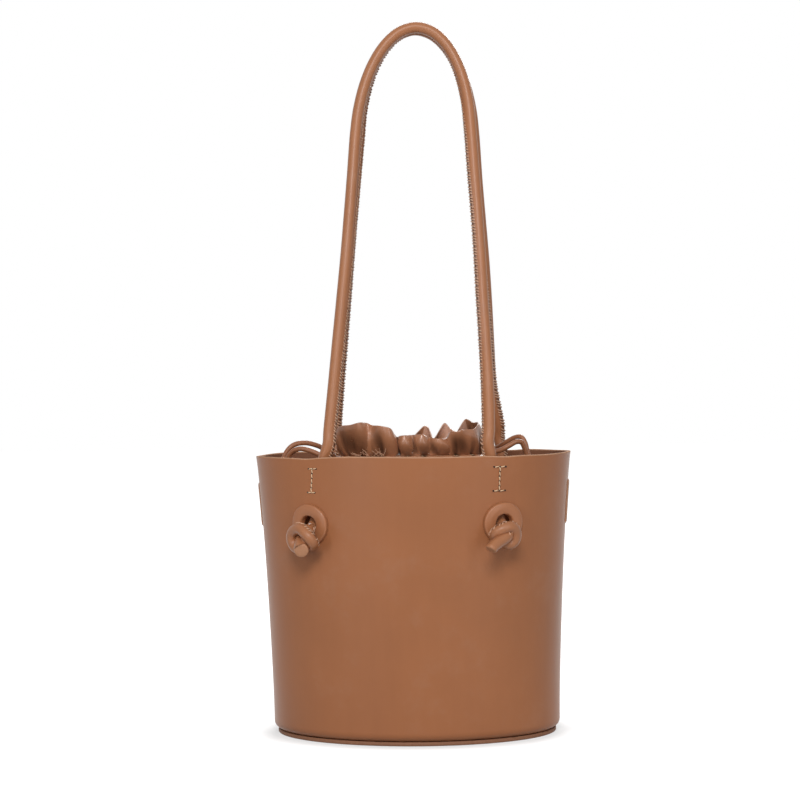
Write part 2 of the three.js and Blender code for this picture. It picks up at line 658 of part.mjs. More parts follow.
function add(name, geometry, look, position = [0, 0, 0]) {
  const mesh = new THREE.Mesh(geometry, new THREE.MeshStandardMaterial(look));
  mesh.name = name;
  mesh.position.set(...position);
  bag.add(mesh);
}

add('bucket_wall', bucketWall(), leather);
add('base_sole', ovalSheet(0, soleThickness, soleInset), leather);
add('base_board', ovalSheet(boardFloor, boardThickness, footRadius + clearance), board);
add('base_lining', ovalSheet(liningFloor, liningThickness, wallThickness + sheetClearance), satin);

for (const corner of corners) {
  add(`${corner.name}_ring`, leatherRing(corner.place), cordLeather);
  add(`${corner.name}_knotted_end`, tailSolid(corner), cordLeather);
  add(`${corner.name}_keeper`, keeperSolid(corner), leather);
  add(`${corner.name}_bend`, bendSolid(corner), cordLeather);
}
add('front_handle', handleArch(-1), cordLeather);
add('rear_handle', handleArch(1), cordLeather);

add('pouch_bag', pouchBag(), satin);
add('pouch_casing', pouchCasing(), satin);
add('pouch_ruffle', pouchRuffle(), satin);

for (const { name, side, place } of sides) {
  add(`${name}_side_strap`, sideStrap(place), leather);
  const run = roundTube(runCurve(side), runSteps, () => stringRadius, stringSides);
  add(`${name}_drawstring`, run, cordLeather);
  add(`${name}_front_strand`, strandSolid(side, -1), cordLeather);
  add(`${name}_rear_strand`, strandSolid(side, 1), cordLeather);
  const knot = endKnot(side);
  add(`${name}_end_knot`, knot.geometry, cordLeather, knot.position);
}

export default bag;
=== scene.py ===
"""Bucket bag: its looks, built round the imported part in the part's own frame.

Metres, +Z up, the front towards -Y, the origin at the middle of the sole's underside.
"""

from __future__ import annotations

import logging
import math
import sys
from abc import ABC, abstractmethod
from dataclasses import dataclass, field
from enum import Enum
from functools import cache

import bmesh
import bpy
import numpy as np
from mathutils import Matrix, Vector

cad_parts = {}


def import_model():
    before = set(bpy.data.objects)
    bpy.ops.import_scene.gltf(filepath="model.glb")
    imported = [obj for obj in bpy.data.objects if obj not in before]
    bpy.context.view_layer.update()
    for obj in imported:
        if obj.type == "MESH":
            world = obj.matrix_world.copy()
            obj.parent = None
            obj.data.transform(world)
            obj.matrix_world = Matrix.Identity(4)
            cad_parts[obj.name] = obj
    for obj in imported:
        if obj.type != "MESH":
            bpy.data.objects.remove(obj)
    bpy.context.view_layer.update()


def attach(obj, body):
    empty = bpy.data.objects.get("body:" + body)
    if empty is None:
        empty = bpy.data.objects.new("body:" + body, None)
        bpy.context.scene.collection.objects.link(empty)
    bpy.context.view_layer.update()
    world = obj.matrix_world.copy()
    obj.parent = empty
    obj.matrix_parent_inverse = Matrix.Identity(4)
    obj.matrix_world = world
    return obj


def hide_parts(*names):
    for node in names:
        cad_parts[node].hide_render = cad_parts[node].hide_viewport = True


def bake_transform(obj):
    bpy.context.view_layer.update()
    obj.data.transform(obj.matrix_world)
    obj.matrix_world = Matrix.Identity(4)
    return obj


log = logging.getLogger("bucket_bag")

MM = 0.001
WELD = 1e-7
UP = np.array([0.0, 0.0, 1.0])
Array = np.ndarray
Colour = tuple[float, float, float]
Piece = bpy.types.Object
Socket = bpy.types.NodeSocket
Sockets = bpy.types.bpy_prop_collection


class Named(Enum):
    """A choice whose name is part of the names of nodes and pieces."""

    @property
    def word(self) -> str:
        """The name as the part's nodes write it."""
        return self.name.lower()


class Side(Named):
    """The two ends of the oval, by the sign of X."""

    LEFT = -1
    RIGHT = 1


class Depth(Named):
    """The front and the rear of the bag, by the sign of Y."""

    FRONT = -1
    REAR = 1


@dataclass
class Surface:
    """Points and quads, with a map position for each corner and values for each point.

    Args:
        points: point places, one row each.
        quads: four point numbers for each face.
        uv: the map position of each face corner, in metres along the surface.
        values: named numbers, one for each point, that materials read.
    """

    points: Array
    quads: Array
    uv: Array
    values: dict[str, Array] = field(default_factory=dict)


def smoothstep(x: Array | float, low: float, high: float) -> Array:
    """A share that runs from 0 at low to 1 at high, 3t^2 - 2t^3, and is held outside."""
    t = np.clip((np.asarray(x, float) - low) / (high - low), 0.0, 1.0)
    return t * t * (3.0 - 2.0 * t)


def unit(v: Array) -> Array:
    """The vectors along the last axis, scaled to length 1."""
    return v / np.maximum(np.linalg.norm(v, axis=-1, keepdims=True), 1e-12)


def around(count: int) -> Array:
    """Angles all the way round at equal steps, without the last."""
    return np.linspace(0, 2 * np.pi, count, endpoint=False)


def quarter(count: int = 6) -> Array:
    """Angles from 0 to a right angle, both among them."""
    return np.linspace(0, np.pi / 2, count)


def grid(points: Array, ring_rows: bool = False, ring_columns: bool = False,
         **values: Array) -> Surface:
    """A surface through a grid of points.

    The quad (i, j) joins points (i, j), (i, j + 1), (i + 1, j + 1) and (i + 1, j), and a ringed
    direction goes on from its last line to its first. The map runs along the mean length of the
    lines in each direction, so a pattern keeps its size on the surface.

    Args:
        points: places, in an array of rows by columns by 3.
        ring_rows: whether the last row joins the first.
        ring_columns: whether the last column joins the first.
        values: named numbers for each point, in arrays of rows by columns.

    Returns:
        The surface.
    """
    rows, columns = points.shape[:2]
    i = np.arange(rows if ring_rows else rows - 1)[:, None, None] + np.array([0, 0, 1, 1])
    j = np.arange(columns if ring_columns else columns - 1)[:, None] + np.array([0, 1, 1, 0])
    i, j = np.broadcast_arrays(i, j)
    quads = (i % rows) * columns + j % columns

    def measure(axis: int, ringed: bool) -> Array:
        """Mean length along one direction up to each line, one entry past the last."""
        step = np.linalg.norm(np.roll(points, -1, axis) - points, axis=-1).mean(axis=1 - axis)
        if not ringed:
            step[-1] = 0.0
        return np.r_[[0.0], np.cumsum(step)]

    uv = np.stack([measure(1, ring_columns)[j], measure(0, ring_rows)[i]], axis=-1)
    flat = {name: np.broadcast_to(v, (rows, columns)).reshape(-1).astype(float)
            for name, v in values.items()}
    return Surface(points.reshape(-1, 3), quads.reshape(-1, 4), uv.reshape(-1, 4, 2), flat)


def ring(points: Array, **values: Array) -> Surface:
    """A grid that is ringed both ways, as a washer's surface is."""
    return grid(points, ring_rows=True, ring_columns=True, **values)


def capped(rows: Array) -> Array:
    """Rows of points with one more at each end, where all points lie at that end's middle."""
    ends = [np.broadcast_to(rows[k].mean(axis=0), rows[k].shape)[None] for k in (0, -1)]
    return np.r_[ends[0], rows, ends[1]]


def joined(surfaces: list[Surface]) -> Surface:
    """Several surfaces as one, with 0 where a surface lacks a named value."""
    starts = np.cumsum([0] + [len(s.points) for s in surfaces[:-1]])
    names = sorted({n for s in surfaces for n in s.values})
    return Surface(
        np.concatenate([s.points for s in surfaces]),
        np.concatenate([s.quads + k for s, k in zip(surfaces, starts)]),
        np.concatenate([s.uv for s in surfaces]),
        {n: np.concatenate([s.values.get(n, np.zeros(len(s.points))) for s in surfaces])
         for n in names})


def piece(name: str, surface: Surface, material: bpy.types.Material,
          crease: float | None = None) -> Piece:
    """A Blender object from a surface, with faces turned outwards.

    Points closer than WELD become one, which closes poles. A closed shape's volume is the sum of
    a . (b x c) / 6 over its triangles, and it is turned over where that is negative.

    Args:
        name: the object's name.
        surface: the surface.
        material: the finish that it wears.
        crease: the angle in degrees above which an edge stays sharp, or None for none.

    Returns:
        The object, at the origin.
    """
    p, q = surface.points, surface.quads
    a, b, c, d = (p[q[:, k]] for k in range(4))
    volume = (a * np.cross(b, c)).sum() + (a * np.cross(c, d)).sum()
    order = slice(None, None, -1 if volume < 0 else 1)
    mesh = bpy.data.meshes.new(name)
    mesh.from_pydata(p, [], q[:, order].tolist())
    layer = mesh.uv_layers.new(name="surface_map")
    uv = np.ascontiguousarray(surface.uv[:, order], np.float32)
    layer.data.foreach_set("uv", uv.reshape(-1))
    for key, value in surface.values.items():
        numbers = mesh.attributes.new(key, "FLOAT", "POINT").data
        numbers.foreach_set("value", value.astype(np.float32))
    mesh.shade_smooth()
    work = bmesh.new()
    work.from_mesh(mesh)
    bmesh.ops.remove_doubles(work, verts=work.verts, dist=WELD)
    bmesh.ops.dissolve_degenerate(work, edges=work.edges, dist=WELD)
    work.to_mesh(mesh)
    work.free()
    if crease is not None:
        mesh.set_sharp_from_angle(angle=math.radians(crease))
    mesh.materials.append(material)
    made = bpy.data.objects.new(name, mesh)
    bpy.context.collection.objects.link(made)
    return made


def keep_modified(made: Piece) -> None:
    """Makes the result of a piece's modifiers its own mesh."""
    graph = bpy.context.evaluated_depsgraph_get()
    done = bpy.data.meshes.new_from_object(made.evaluated_get(graph))
    made.modifiers.clear()
    made.data = done


def dress(made: Piece, slot: str, *nodes: str) -> Piece:
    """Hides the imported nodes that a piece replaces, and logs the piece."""
    if nodes:
        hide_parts(*nodes)
    log.info("%s: %d faces", made.name, len(made.data.polygons))
    return made


def ride(made: Piece, slot: str, *nodes: str, body: str = "shell") -> Piece:
    """Ties a piece to the body that it rides on, and dresses it."""
    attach(made, body)
    return dress(made, slot, *nodes)


def sew(name: str, stitch: Surface, places: Array, out: Array, travel: Array, finish: Finish,
        slot: str) -> None:
    """A row of like stitches on the shell, each set across out x travel.

    Args:
        name: the piece's name.
        stitch: one stitch.
        places: where they go.
        out: the direction out of the cloth or leather at each place.
        travel: the direction of the thread at each place.
        finish: their finish.
        slot: their material slot; not used.
    """
    shapes = repeated(stitch, places, np.cross(out, travel), out, travel)
    ride(piece(name, shapes, finish.material()), slot)


def smooth_path(points: Array, step: float) -> Array:
    """A smooth curve through the points, sampled at an even pace.

    Between two points the curve is a cubic whose end slopes come from the neighbours, with the
    square root of each chord as its knot spacing, so that it keeps close to uneven points.

    Args:
        points: places that the curve passes through, at least 3.
        step: distance between samples.

    Returns:
        Samples from the first point to the last.
    """
    p = np.asarray(points, float)
    p = np.r_[[2 * p[0] - p[1]], p, [2 * p[-1] - p[-2]]]
    gap = np.sqrt(np.linalg.norm(np.diff(p, axis=0), axis=1))[:, None]
    p0, p1, p2, p3 = p[:-3], p[1:-2], p[2:-1], p[3:]
    g0, g1, g2 = gap[:-2], gap[1:-1], gap[2:]
    m1 = ((p1 - p0) / g0 - (p2 - p0) / (g0 + g1) + (p2 - p1) / g1) * g1
    m2 = ((p2 - p1) / g1 - (p3 - p1) / (g1 + g2) + (p3 - p2) / g2) * g1
    t = np.linspace(0, 1, 24, endpoint=False)[None, :, None]
    a, b, s, e = p1[:, None], p2[:, None], m1[:, None], m2[:, None]
    fine = a + s * t + (3 * (b - a) - 2 * s - e) * t**2 + (2 * (a - b) + s + e) * t**3
    return even(np.r_[fine.reshape(-1, 3), p2[-1:]], step)


def even(line: Array, step: float) -> Array:
    """A line sampled again at equal distances of about step, with both ends kept."""
    along = arc(line)
    at = np.linspace(0, along[-1], max(2, math.ceil(along[-1] / step - 1e-6) + 1))
    return np.stack([np.interp(at, along, line[:, k]) for k in range(3)], axis=1)


def arc(line: Array) -> Array:
    """The distance along a line up to each of its points."""
    return np.r_[[0.0], np.cumsum(np.linalg.norm(np.diff(line, axis=0), axis=1))]


@dataclass(frozen=True)
class Tightening:
    """How a knotted cord is drawn tight against a washer and the wall, in millimetres.

    Args:
        count: points along the cord.
        held: points at the start that stay where they are.
        rounds, pushes: how many rounds are made, and pushes in each.
        push: the share of an overlap that one push takes off each turn.
        apart: how far along the cord, in diameters, a stretch counts as another turn.
        washer, washer_rim: its height, and the reaches between which its face falls to the wall.
        hole: the reach of its hole.
        diameter: the least distance between turns.
    """

    count: int = 110
    held: int = 3
    rounds: int = 160
    pushes: int = 3
    push: float = 0.175
    apart: float = 1.5
    washer: float = 3.3
    washer_rim: tuple[float, float] = (12.0, 17.0)
    hole: float = 5.0
    diameter: float = 6.6

    def spaced(self, line: Array) -> Array:
        """The cord's points at an even pace."""
        return even(line, float(arc(line)[-1]) / (self.count - 1))

    def draw(self, line: Array, radius: float) -> Array:
        """Draws the cord tight, with both ends held.

        Each round moves every point half way to the middle of its neighbours, then pushes turns
        apart that lie nearer than one diameter, and lifts points off the washer and the wall.

        Args:
            line: the knot's loose middle line, across, up and out from the washer.
            radius: the cord's own radius.

        Returns:
            The tight middle line.
        """
        held, line = self.held, self.spaced(line)
        index = np.arange(self.count)
        for step in range(self.rounds):
            line[held:-2] = 0.5 * line[held:-2] + 0.25 * (line[held - 1:-3] + line[held + 1:-1])
            pace = arc(line)[-1] / (self.count - 1)
            free = np.abs(index[:, None] - index) * pace > self.apart * self.diameter
            for _ in range(self.pushes):
                across = line[:, None] - line[None]
                away = np.linalg.norm(across, axis=-1) + 1e-9
                push = np.where(free & (away < self.diameter), (self.diameter - away) / away, 0.0)
                line[held:-1] += self.push * (push[..., None] * across).sum(axis=1)[held:-1]
                reach = np.hypot(line[:, 0], line[:, 1])
                base = self.washer - 3.0 * smoothstep(reach, *self.washer_rim) + radius
                base = np.where(reach < self.hole, -radius, base)
                line[held:, 2] = np.maximum(line[held:, 2], base[held:])
            if step % 10 == 9:
                line = self.spaced(line)
        return line


def tangents(line: Array) -> Array:
    """The direction of a line at each of its points, from the points before and after."""
    return unit(np.gradient(line, axis=0))


def carried(along: Array, start: Array) -> Array:
    """A side direction carried along a curve with no twist.

    Each direction is the one before it, less its part along the new direction of travel.
    """
    out = np.empty_like(along)
    last = start
    for k, t in enumerate(along):
        last = last - (last @ t) * t
        last = last / np.linalg.norm(last)
        out[k] = last
    return out


def square_to(side: Array, along: Array) -> Array:
    """Side directions with their part along the travel taken out, at length 1."""
    return unit(side - (side * along).sum(-1, keepdims=True) * along)


def circle(radius: float, sides: int) -> Array:
    """Points (r sin a, r cos a) round a circle, at equal angles."""
    a = np.arange(sides) * 2 * np.pi / sides
    return np.stack([radius * np.sin(a), radius * np.cos(a)], axis=1)


def tube(line: Array, section: Array, side: Array, dome: float = 0.25, cut: float = 0.0,
         **values: Array) -> Surface:
    """A section carried along a line, with cap rows that shrink to a point on a low dome.

    Row k is the line's point k plus across * x + side * y for each section pair (x, y), where
    across is side x travel.

    Args:
        line: the middle line.
        section: pairs, one set for all rows or one for each.
        side: the direction of y for each row.
        dome: how far a cap stands out, as a share of the section's size.
        cut: the value "edge" on the caps, 1 for a raw cut.
        values: named numbers for each row and section point, which are 0 on the caps.

    Returns:
        The surface.
    """
    along = tangents(line)
    side = square_to(side, along)
    across = np.cross(side, along)
    section = np.broadcast_to(section, (len(line), *section.shape[-2:]))
    rows = line[:, None] + across[:, None] * section[..., :1] + side[:, None] * section[..., 1:]
    size = np.abs(section).max(axis=(1, 2))
    shrink = np.array([0.97, 0.9, 0.55, 0.0])
    rise = np.array([0.35, 0.75, 0.95, 1.0]) * dome
    ends = []
    for k, sign in ((0, -1.0), (-1, 1.0)):
        spot = line[k] + (rows[k][None] - line[k]) * shrink[:, None, None]
        ends.append(spot + (along[k] * sign * size[k])[None, None] * rise[:, None, None])
    pad = ((len(shrink), len(shrink)), (0, 0))
    flat = {name: np.pad(np.broadcast_to(v, section.shape[:2]), pad) for name, v in values.items()}
    edge = np.pad(np.zeros(section.shape[:2]), pad, constant_values=cut)
    return grid(np.r_[ends[0][::-1], rows, ends[1]], ring_columns=True, edge=edge, **flat)


def round_tube(line: Array, radius: Array | float, sides: int, dome: float = 0.25,
               cut: float = 0.0) -> Surface:
    """A round tube whose radius may change along it.

    Args:
        line: the middle line.
        radius: one radius, or one for each point.
        sides: points round the tube.
        dome: how far a cap stands out, as a share of the radius.
        cut: the value "edge" on the caps, 1 for a raw cut.

    Returns:
        The surface.
    """
    along = tangents(line)
    helper = np.eye(3)[np.abs(along[0]).argmin()]
    r = np.broadcast_to(np.asarray(radius, float), (len(line),))
    section = circle(1.0, sides)[None] * r[:, None, None]
    return tube(line, section, carried(along, helper), dome, cut)


def repeated(shape: Surface, places: Array, right: Array, out: Array, travel: Array) -> Surface:
    """One small shape set at many places.

    A point (x, y, z) of the shape goes to place + x * right + y * out + z * travel.

    Args:
        shape: the small surface.
        places: where its origin goes.
        right: the direction of its x at each place.
        out: the direction of its y at each place.
        travel: the direction of its z at each place.

    Returns:
        All of them as one surface.
    """
    axes = np.stack([right, out, travel], axis=1)
    points = places[:, None] + np.einsum("pk,nkc->npc", shape.points, axes)
    count = len(places)
    quads = shape.quads[None] + (np.arange(count) * len(shape.points))[:, None, None]
    flat = {name: np.tile(v, count) for name, v in shape.values.items()}
    uv = np.tile(shape.uv, (count, 1, 1))
    return Surface(points.reshape(-1, 3), quads.reshape(-1, 4), uv, flat)


def thread(length: float, diameter: float, rise: float, slant: float = 0.0) -> Surface:
    """One stitch: a thread that comes up out of one hole and goes down the next.

    Its middle line is z = length (t - 1/2), y = rise sin(pi t)^0.6 - diameter / 4 and
    x = slant (t - 1/2), and it thins towards the holes.

    Args:
        length: distance between the holes along z.
        diameter: the thread's thickness.
        rise: how high its middle stands along y.
        slant: how far it crosses over along x.

    Returns:
        The stitch round the origin.
    """
    t = np.linspace(0, 1, 7)
    line = np.stack([slant * (t - 0.5), rise * np.sin(np.pi * t) ** 0.6 - 0.25 * diameter,
                     length * (t - 0.5)], axis=1)
    radius = diameter / 2 * (0.55 + 0.45 * np.sin(np.pi * np.clip(t, 0.04, 0.96)) ** 0.5)
    return round_tube(line, radius, 6, dome=0.3)


# The finishes.


class Tree:
    """A node tree with short calls that add nodes and join them."""

    def __init__(self, owner: bpy.types.Material | bpy.types.World | None = None,
                 group: bpy.types.NodeTree | None = None) -> None:
        """Takes the emptied tree of a material or a world, or else a node group."""
        if owner is not None:
            owner.use_nodes = True
            owner.node_tree.nodes.clear()
        self.tree = group if owner is None else owner.node_tree

    def add(self, kind: str, inputs: dict | None = None, **settings: object) -> bpy.types.Node:
        """A node with its settings, and with each input set to a value or joined to a socket.

        Args:
            kind: the node's type.
            inputs: a value or an output socket for each input, by name or number.
            settings: the node's own properties.

        Returns:
            The node.
        """
        node = self.tree.nodes.new(kind)
        for key, value in settings.items():
            setattr(node, key, value)
        for key, value in (inputs or {}).items():
            socket = node.inputs[key]
            if isinstance(value, Socket):
                self.tree.links.new(value, socket)
            else:
                socket.default_value = (*value, 1.0) if socket.type == "RGBA" else value
        return node

    def math(self, operation: str, *values: object) -> Socket:
        """The result of a sum on numbers or sockets."""
        return self.add("ShaderNodeMath", dict(enumerate(values)), operation=operation).outputs[0]

    def mix(self, share: object, low: object, high: object) -> Socket:
        """A colour between two colours, by a share."""
        return self.add("ShaderNodeMix", {0: share, 6: low, 7: high}, data_type="RGBA").outputs[2]

    def scaled(self, colour: Socket, share: Socket) -> Socket:
        """A colour times a number."""
        return self.add("ShaderNodeVectorMath", {0: colour, "Scale": share},
                        operation="SCALE").outputs[0]

    def noise(self, place: object, scale: float, detail: float = 3.0,
              rough: float = 0.55) -> Socket:
        """Cloudy noise from 0 to 1 at a place, at so many cycles a metre."""
        return self.add("ShaderNodeTexNoise", {"Vector": place, "Scale": scale, "Detail": detail,
                                               "Roughness": rough}).outputs["Fac"]

    def spread(self, value: Socket, low: float, high: float) -> Socket:
        """A share that runs from 0 at low to 1 at high."""
        return self.add("ShaderNodeMapRange", {"Value": value, "From Min": low, "From Max": high},
                        interpolation_type="SMOOTHSTEP").outputs[0]

    def value(self, name: str) -> Socket:
        """A number that a piece's points carry, or 0 where they don't."""
        return self.add("ShaderNodeAttribute", attribute_name=name).outputs["Fac"]

    def bump(self, height: Socket, strength: float, distance: float, **under: Socket) -> Socket:
        """The normals of a relief, over other normals where Normal gives them."""
        return self.add("ShaderNodeBump", {"Height": height, "Strength": strength,
                                           "Distance": distance, **under}).outputs[0]


class Effect(Enum):
    """The effects that several finishes share, each one node group."""

    GRAIN = "leather_grain"
    CUT_EDGE = "cut_edge"
    WEAVE = "satin_weave"
    DUST = "settled_dust"


SOCKETS = {
    Effect.GRAIN: ({"Place": "Vector", "Colour": "Color", "Pores": "Float", "Mottle": "Float"},
                   {"Colour": "Color", "Height": "Float", "Roughness": "Float"}),
    Effect.CUT_EDGE: ({"Place": "Vector", "Colour": "Color", "Edge Colour": "Color",
                       "Edge": "Float", "Roughness": "Float"},
                      {"Colour": "Color", "Roughness": "Float"}),
    Effect.WEAVE: ({"Map": "Vector", "Threads": "Float", "Colour": "Color"},
                   {"Colour": "Color", "Height": "Float"}),
    Effect.DUST: ({"Place": "Vector", "Colour": "Color", "Amount": "Float"},
                  {"Colour": "Color"}),
}


def effect(kind: Effect) -> bpy.types.NodeTree:
    """The node group of a shared effect, built the first time that it is asked for."""
    if kind.value in bpy.data.node_groups:
        return bpy.data.node_groups[kind.value]
    group = bpy.data.node_groups.new(kind.value, "ShaderNodeTree")
    for side, sockets in zip(("INPUT", "OUTPUT"), SOCKETS[kind]):
        for name, type_name in sockets.items():
            group.interface.new_socket(name, in_out=side, socket_type=f"NodeSocket{type_name}")
    t = Tree(group=group)
    t.add("NodeGroupOutput", BUILDERS[kind](t, t.add("NodeGroupInput").outputs))
    return group


def use(t: Tree, kind: Effect, **inputs: object) -> Sockets:
    """The outputs of a shared effect; its inputs are named with underscores for spaces."""
    named = {key.replace("_", " "): value for key, value in inputs.items()}
    return t.add("ShaderNodeGroup", named, node_tree=effect(kind)).outputs


def grain_effect(t: Tree, given: Sockets) -> dict[str, Socket]:
    """Leather grain: pores, fine creases, cloudy dye and faint upright streaks.

    Height is pore distance plus crease noise; colour is dye * (1 + mottle * (clouds - 1/2)).

    Args:
        t: the group's tree.
        given: the group's inputs.

    Returns:
        The sockets to put out, as the other effects' functions do.
    """
    place = given["Place"]
    pores = t.add("ShaderNodeTexVoronoi", {"Vector": place, "Scale": given["Pores"]},
                  feature="SMOOTH_F1").outputs["Distance"]
    creases = t.noise(place, 420.0, 4.0, 0.6)
    clouds = t.noise(place, 16.0, 4.0, 0.55)
    tall = t.add("ShaderNodeMapping", {"Vector": place, "Scale": (1.0, 1.0, 0.12)}).outputs[0]
    streaks = t.noise(tall, 150.0, 2.0, 0.5)
    tone = t.math("ADD", t.math("MULTIPLY", clouds, 0.75), t.math("MULTIPLY", streaks, 0.25))
    share = t.math("MULTIPLY_ADD", t.math("SUBTRACT", tone, 0.5), given["Mottle"], 1.0)
    height = t.math("ADD", t.math("MULTIPLY", pores, 0.55), t.math("MULTIPLY", creases, 0.45))
    rough = t.math("MULTIPLY_ADD", t.math("SUBTRACT", clouds, 0.5), 0.16, 0.0)
    return {"Colour": t.scaled(given["Colour"], share), "Height": height, "Roughness": rough}


def edge_effect(t: Tree, given: Sockets) -> dict[str, Socket]:
    """A cut edge: pale fibres where the edge value is high, broken up by fibre noise."""
    fibres = t.noise(given["Place"], 900.0, 3.0, 0.7)
    mask = t.spread(t.math("ADD", given["Edge"], t.math("MULTIPLY", fibres, 0.25)), 0.45, 0.8)
    tone = t.mix(t.math("MULTIPLY", fibres, 0.5), given["Edge Colour"], given["Colour"])
    rough = t.math("MULTIPLY_ADD", mask, t.math("SUBTRACT", 0.8, given["Roughness"]),
                   given["Roughness"])
    return {"Colour": t.mix(mask, given["Colour"], tone), "Roughness": rough}


def weave_effect(t: Tree, given: Sockets) -> dict[str, Socket]:
    """Satin: fine floats one way, finer picks the other, and slight painted shade between threads.
    """
    picks = t.math("MULTIPLY", given["Threads"], 0.62)
    warp, weft = (t.add("ShaderNodeTexWave", {"Vector": given["Map"], "Scale": threads,
                                              "Distortion": wander, "Detail": 1.0},
                        bands_direction=way).outputs["Fac"]
                  for threads, wander, way in ((given["Threads"], 0.6, "X"), (picks, 0.8, "Y")))
    height = t.math("ADD", t.math("MULTIPLY", warp, 0.7), t.math("MULTIPLY", weft, 0.3))
    clouds = t.noise(given["Map"], 60.0, 3.0)
    # Painted shade: darker where the weave is low, between threads; the clouds are a random tone.
    share = t.math("ADD", t.math("MULTIPLY", height, 0.16), t.math("MULTIPLY", clouds, 0.3))
    colour = t.scaled(given["Colour"], t.math("ADD", share, 0.77))
    return {"Colour": colour, "Height": height}


def dust_effect(t: Tree, given: Sockets) -> dict[str, Socket]:
    """A little pale dust in cloudy patches."""
    patches = t.spread(t.noise(given["Place"], 34.0, 5.0, 0.65), 0.5, 0.8)
    share = t.math("MULTIPLY", patches, given["Amount"])
    return {"Colour": t.mix(share, given["Colour"], (0.5, 0.42, 0.36))}


BUILDERS = {Effect.GRAIN: grain_effect, Effect.CUT_EDGE: edge_effect,
            Effect.WEAVE: weave_effect, Effect.DUST: dust_effect}


@dataclass(frozen=True)
class Finish(ABC):
    """A material with one Principled shader.

    Args:
        name: the material's name.
        colour: the main colour of its face.
    """

    name: str
    colour: Colour

    @abstractmethod
    def looks(self, t: Tree) -> dict[str, object]:
        """The shader's inputs, with what feeds them built in the material's tree."""

    @cache
    def material(self) -> bpy.types.Material:
        """The finish as a material, made once."""
        made = bpy.data.materials.new(self.name)
        t = Tree(made)
        shader = t.add("ShaderNodeBsdfPrincipled", self.looks(t))
        t.add("ShaderNodeOutputMaterial", {"Surface": shader.outputs[0]})
        return made


@dataclass(frozen=True)
class LeatherFinish(Finish):
    """Smooth leather with dye, pale cut edges, a matt inner side and painted shade in seams.

    Args:
        edge_colour: the raw fibres at a cut.
        inside_colour: the inner side.
        dark_colour: the painted shade deep in a seam and under the wall's foot.
        pores: pores along a metre.
        mottle: how much the dye varies.
        roughness: the face's roughness.
        relief: how deep the grain is, in metres.
        mapped: whether the grain follows the piece's own map.
        specular: how strongly the face mirrors.
    """

    edge_colour: Colour = (0.52, 0.30, 0.185)
    inside_colour: Colour = (0.205, 0.088, 0.048)
    dark_colour: Colour = (0.045, 0.016, 0.009)
    pores: float = 1150.0
    mottle: float = 0.30
    roughness: float = 0.47
    relief: float = 0.00006
    mapped: bool = False
    specular: float = 0.33

    def looks(self, t: Tree) -> dict[str, object]:
        """Dye and painted shade under grain, cut edges and dust."""
        coordinates = t.add("ShaderNodeTexCoord").outputs
        whole, inside = coordinates["Object"], t.value("inside")
        dye_and_painted_shade = t.mix(inside, self.colour, self.inside_colour)
        # Painted shade: a near-black mix deep in sewn seams and under the wall's foot.
        dye_and_painted_shade = t.mix(t.value("dark"), dye_and_painted_shade, self.dark_colour)
        grain = use(t, Effect.GRAIN, Place=coordinates["UV"] if self.mapped else whole,
                    Colour=dye_and_painted_shade, Pores=self.pores, Mottle=self.mottle)
        matt = t.math("MULTIPLY_ADD", inside, 0.3, self.roughness)
        cut = use(t, Effect.CUT_EDGE, Place=whole, Colour=grain["Colour"],
                  Edge_Colour=self.edge_colour, Edge=t.value("edge"),
                  Roughness=t.math("ADD", grain["Roughness"], matt))
        dusty = use(t, Effect.DUST, Place=whole, Colour=cut["Colour"], Amount=0.05)
        return {"Base Color": dusty["Colour"], "Roughness": cut["Roughness"],
                "Normal": t.bump(grain["Height"], 0.55, self.relief),
                "Specular IOR Level": self.specular, "Coat Weight": 0.02, "Coat Roughness": 0.28}


@dataclass(frozen=True)
class ThreadFinish(Finish):
    """Twisted thread, with the twist along the piece's own map.

    Args:
        twist: turns along a metre.
    """

    twist: float = 420.0

    def looks(self, t: Tree) -> dict[str, object]:
        """Slanting plies, darker between them as painted shade, and paler on loose fuzz."""
        place = t.add("ShaderNodeTexCoord").outputs["UV"]
        turned = t.add("ShaderNodeMapping", {"Vector": place, "Rotation": (0.0, 0.0, 0.9)})
        ply = t.add("ShaderNodeTexWave", {"Vector": turned.outputs[0], "Scale": self.twist,
                                          "Distortion": 0.4}).outputs["Fac"]
        fuzz = t.noise(place, 2600.0, 2.0)
        shade, light = (tuple(min(1.0, k * c) for c in self.colour) for k in (0.45, 1.3))
        # Painted shade: the colour is darker in the grooves between plies.
        tone = t.mix(t.math("MULTIPLY", ply, 0.35), self.colour, shade)
        return {"Base Color": t.mix(t.math("MULTIPLY", fuzz, 0.3), tone, light),
                "Normal": t.bump(ply, 0.6, 0.00012),
                "Roughness": t.math("MULTIPLY_ADD", fuzz, 0.2, 0.5)}


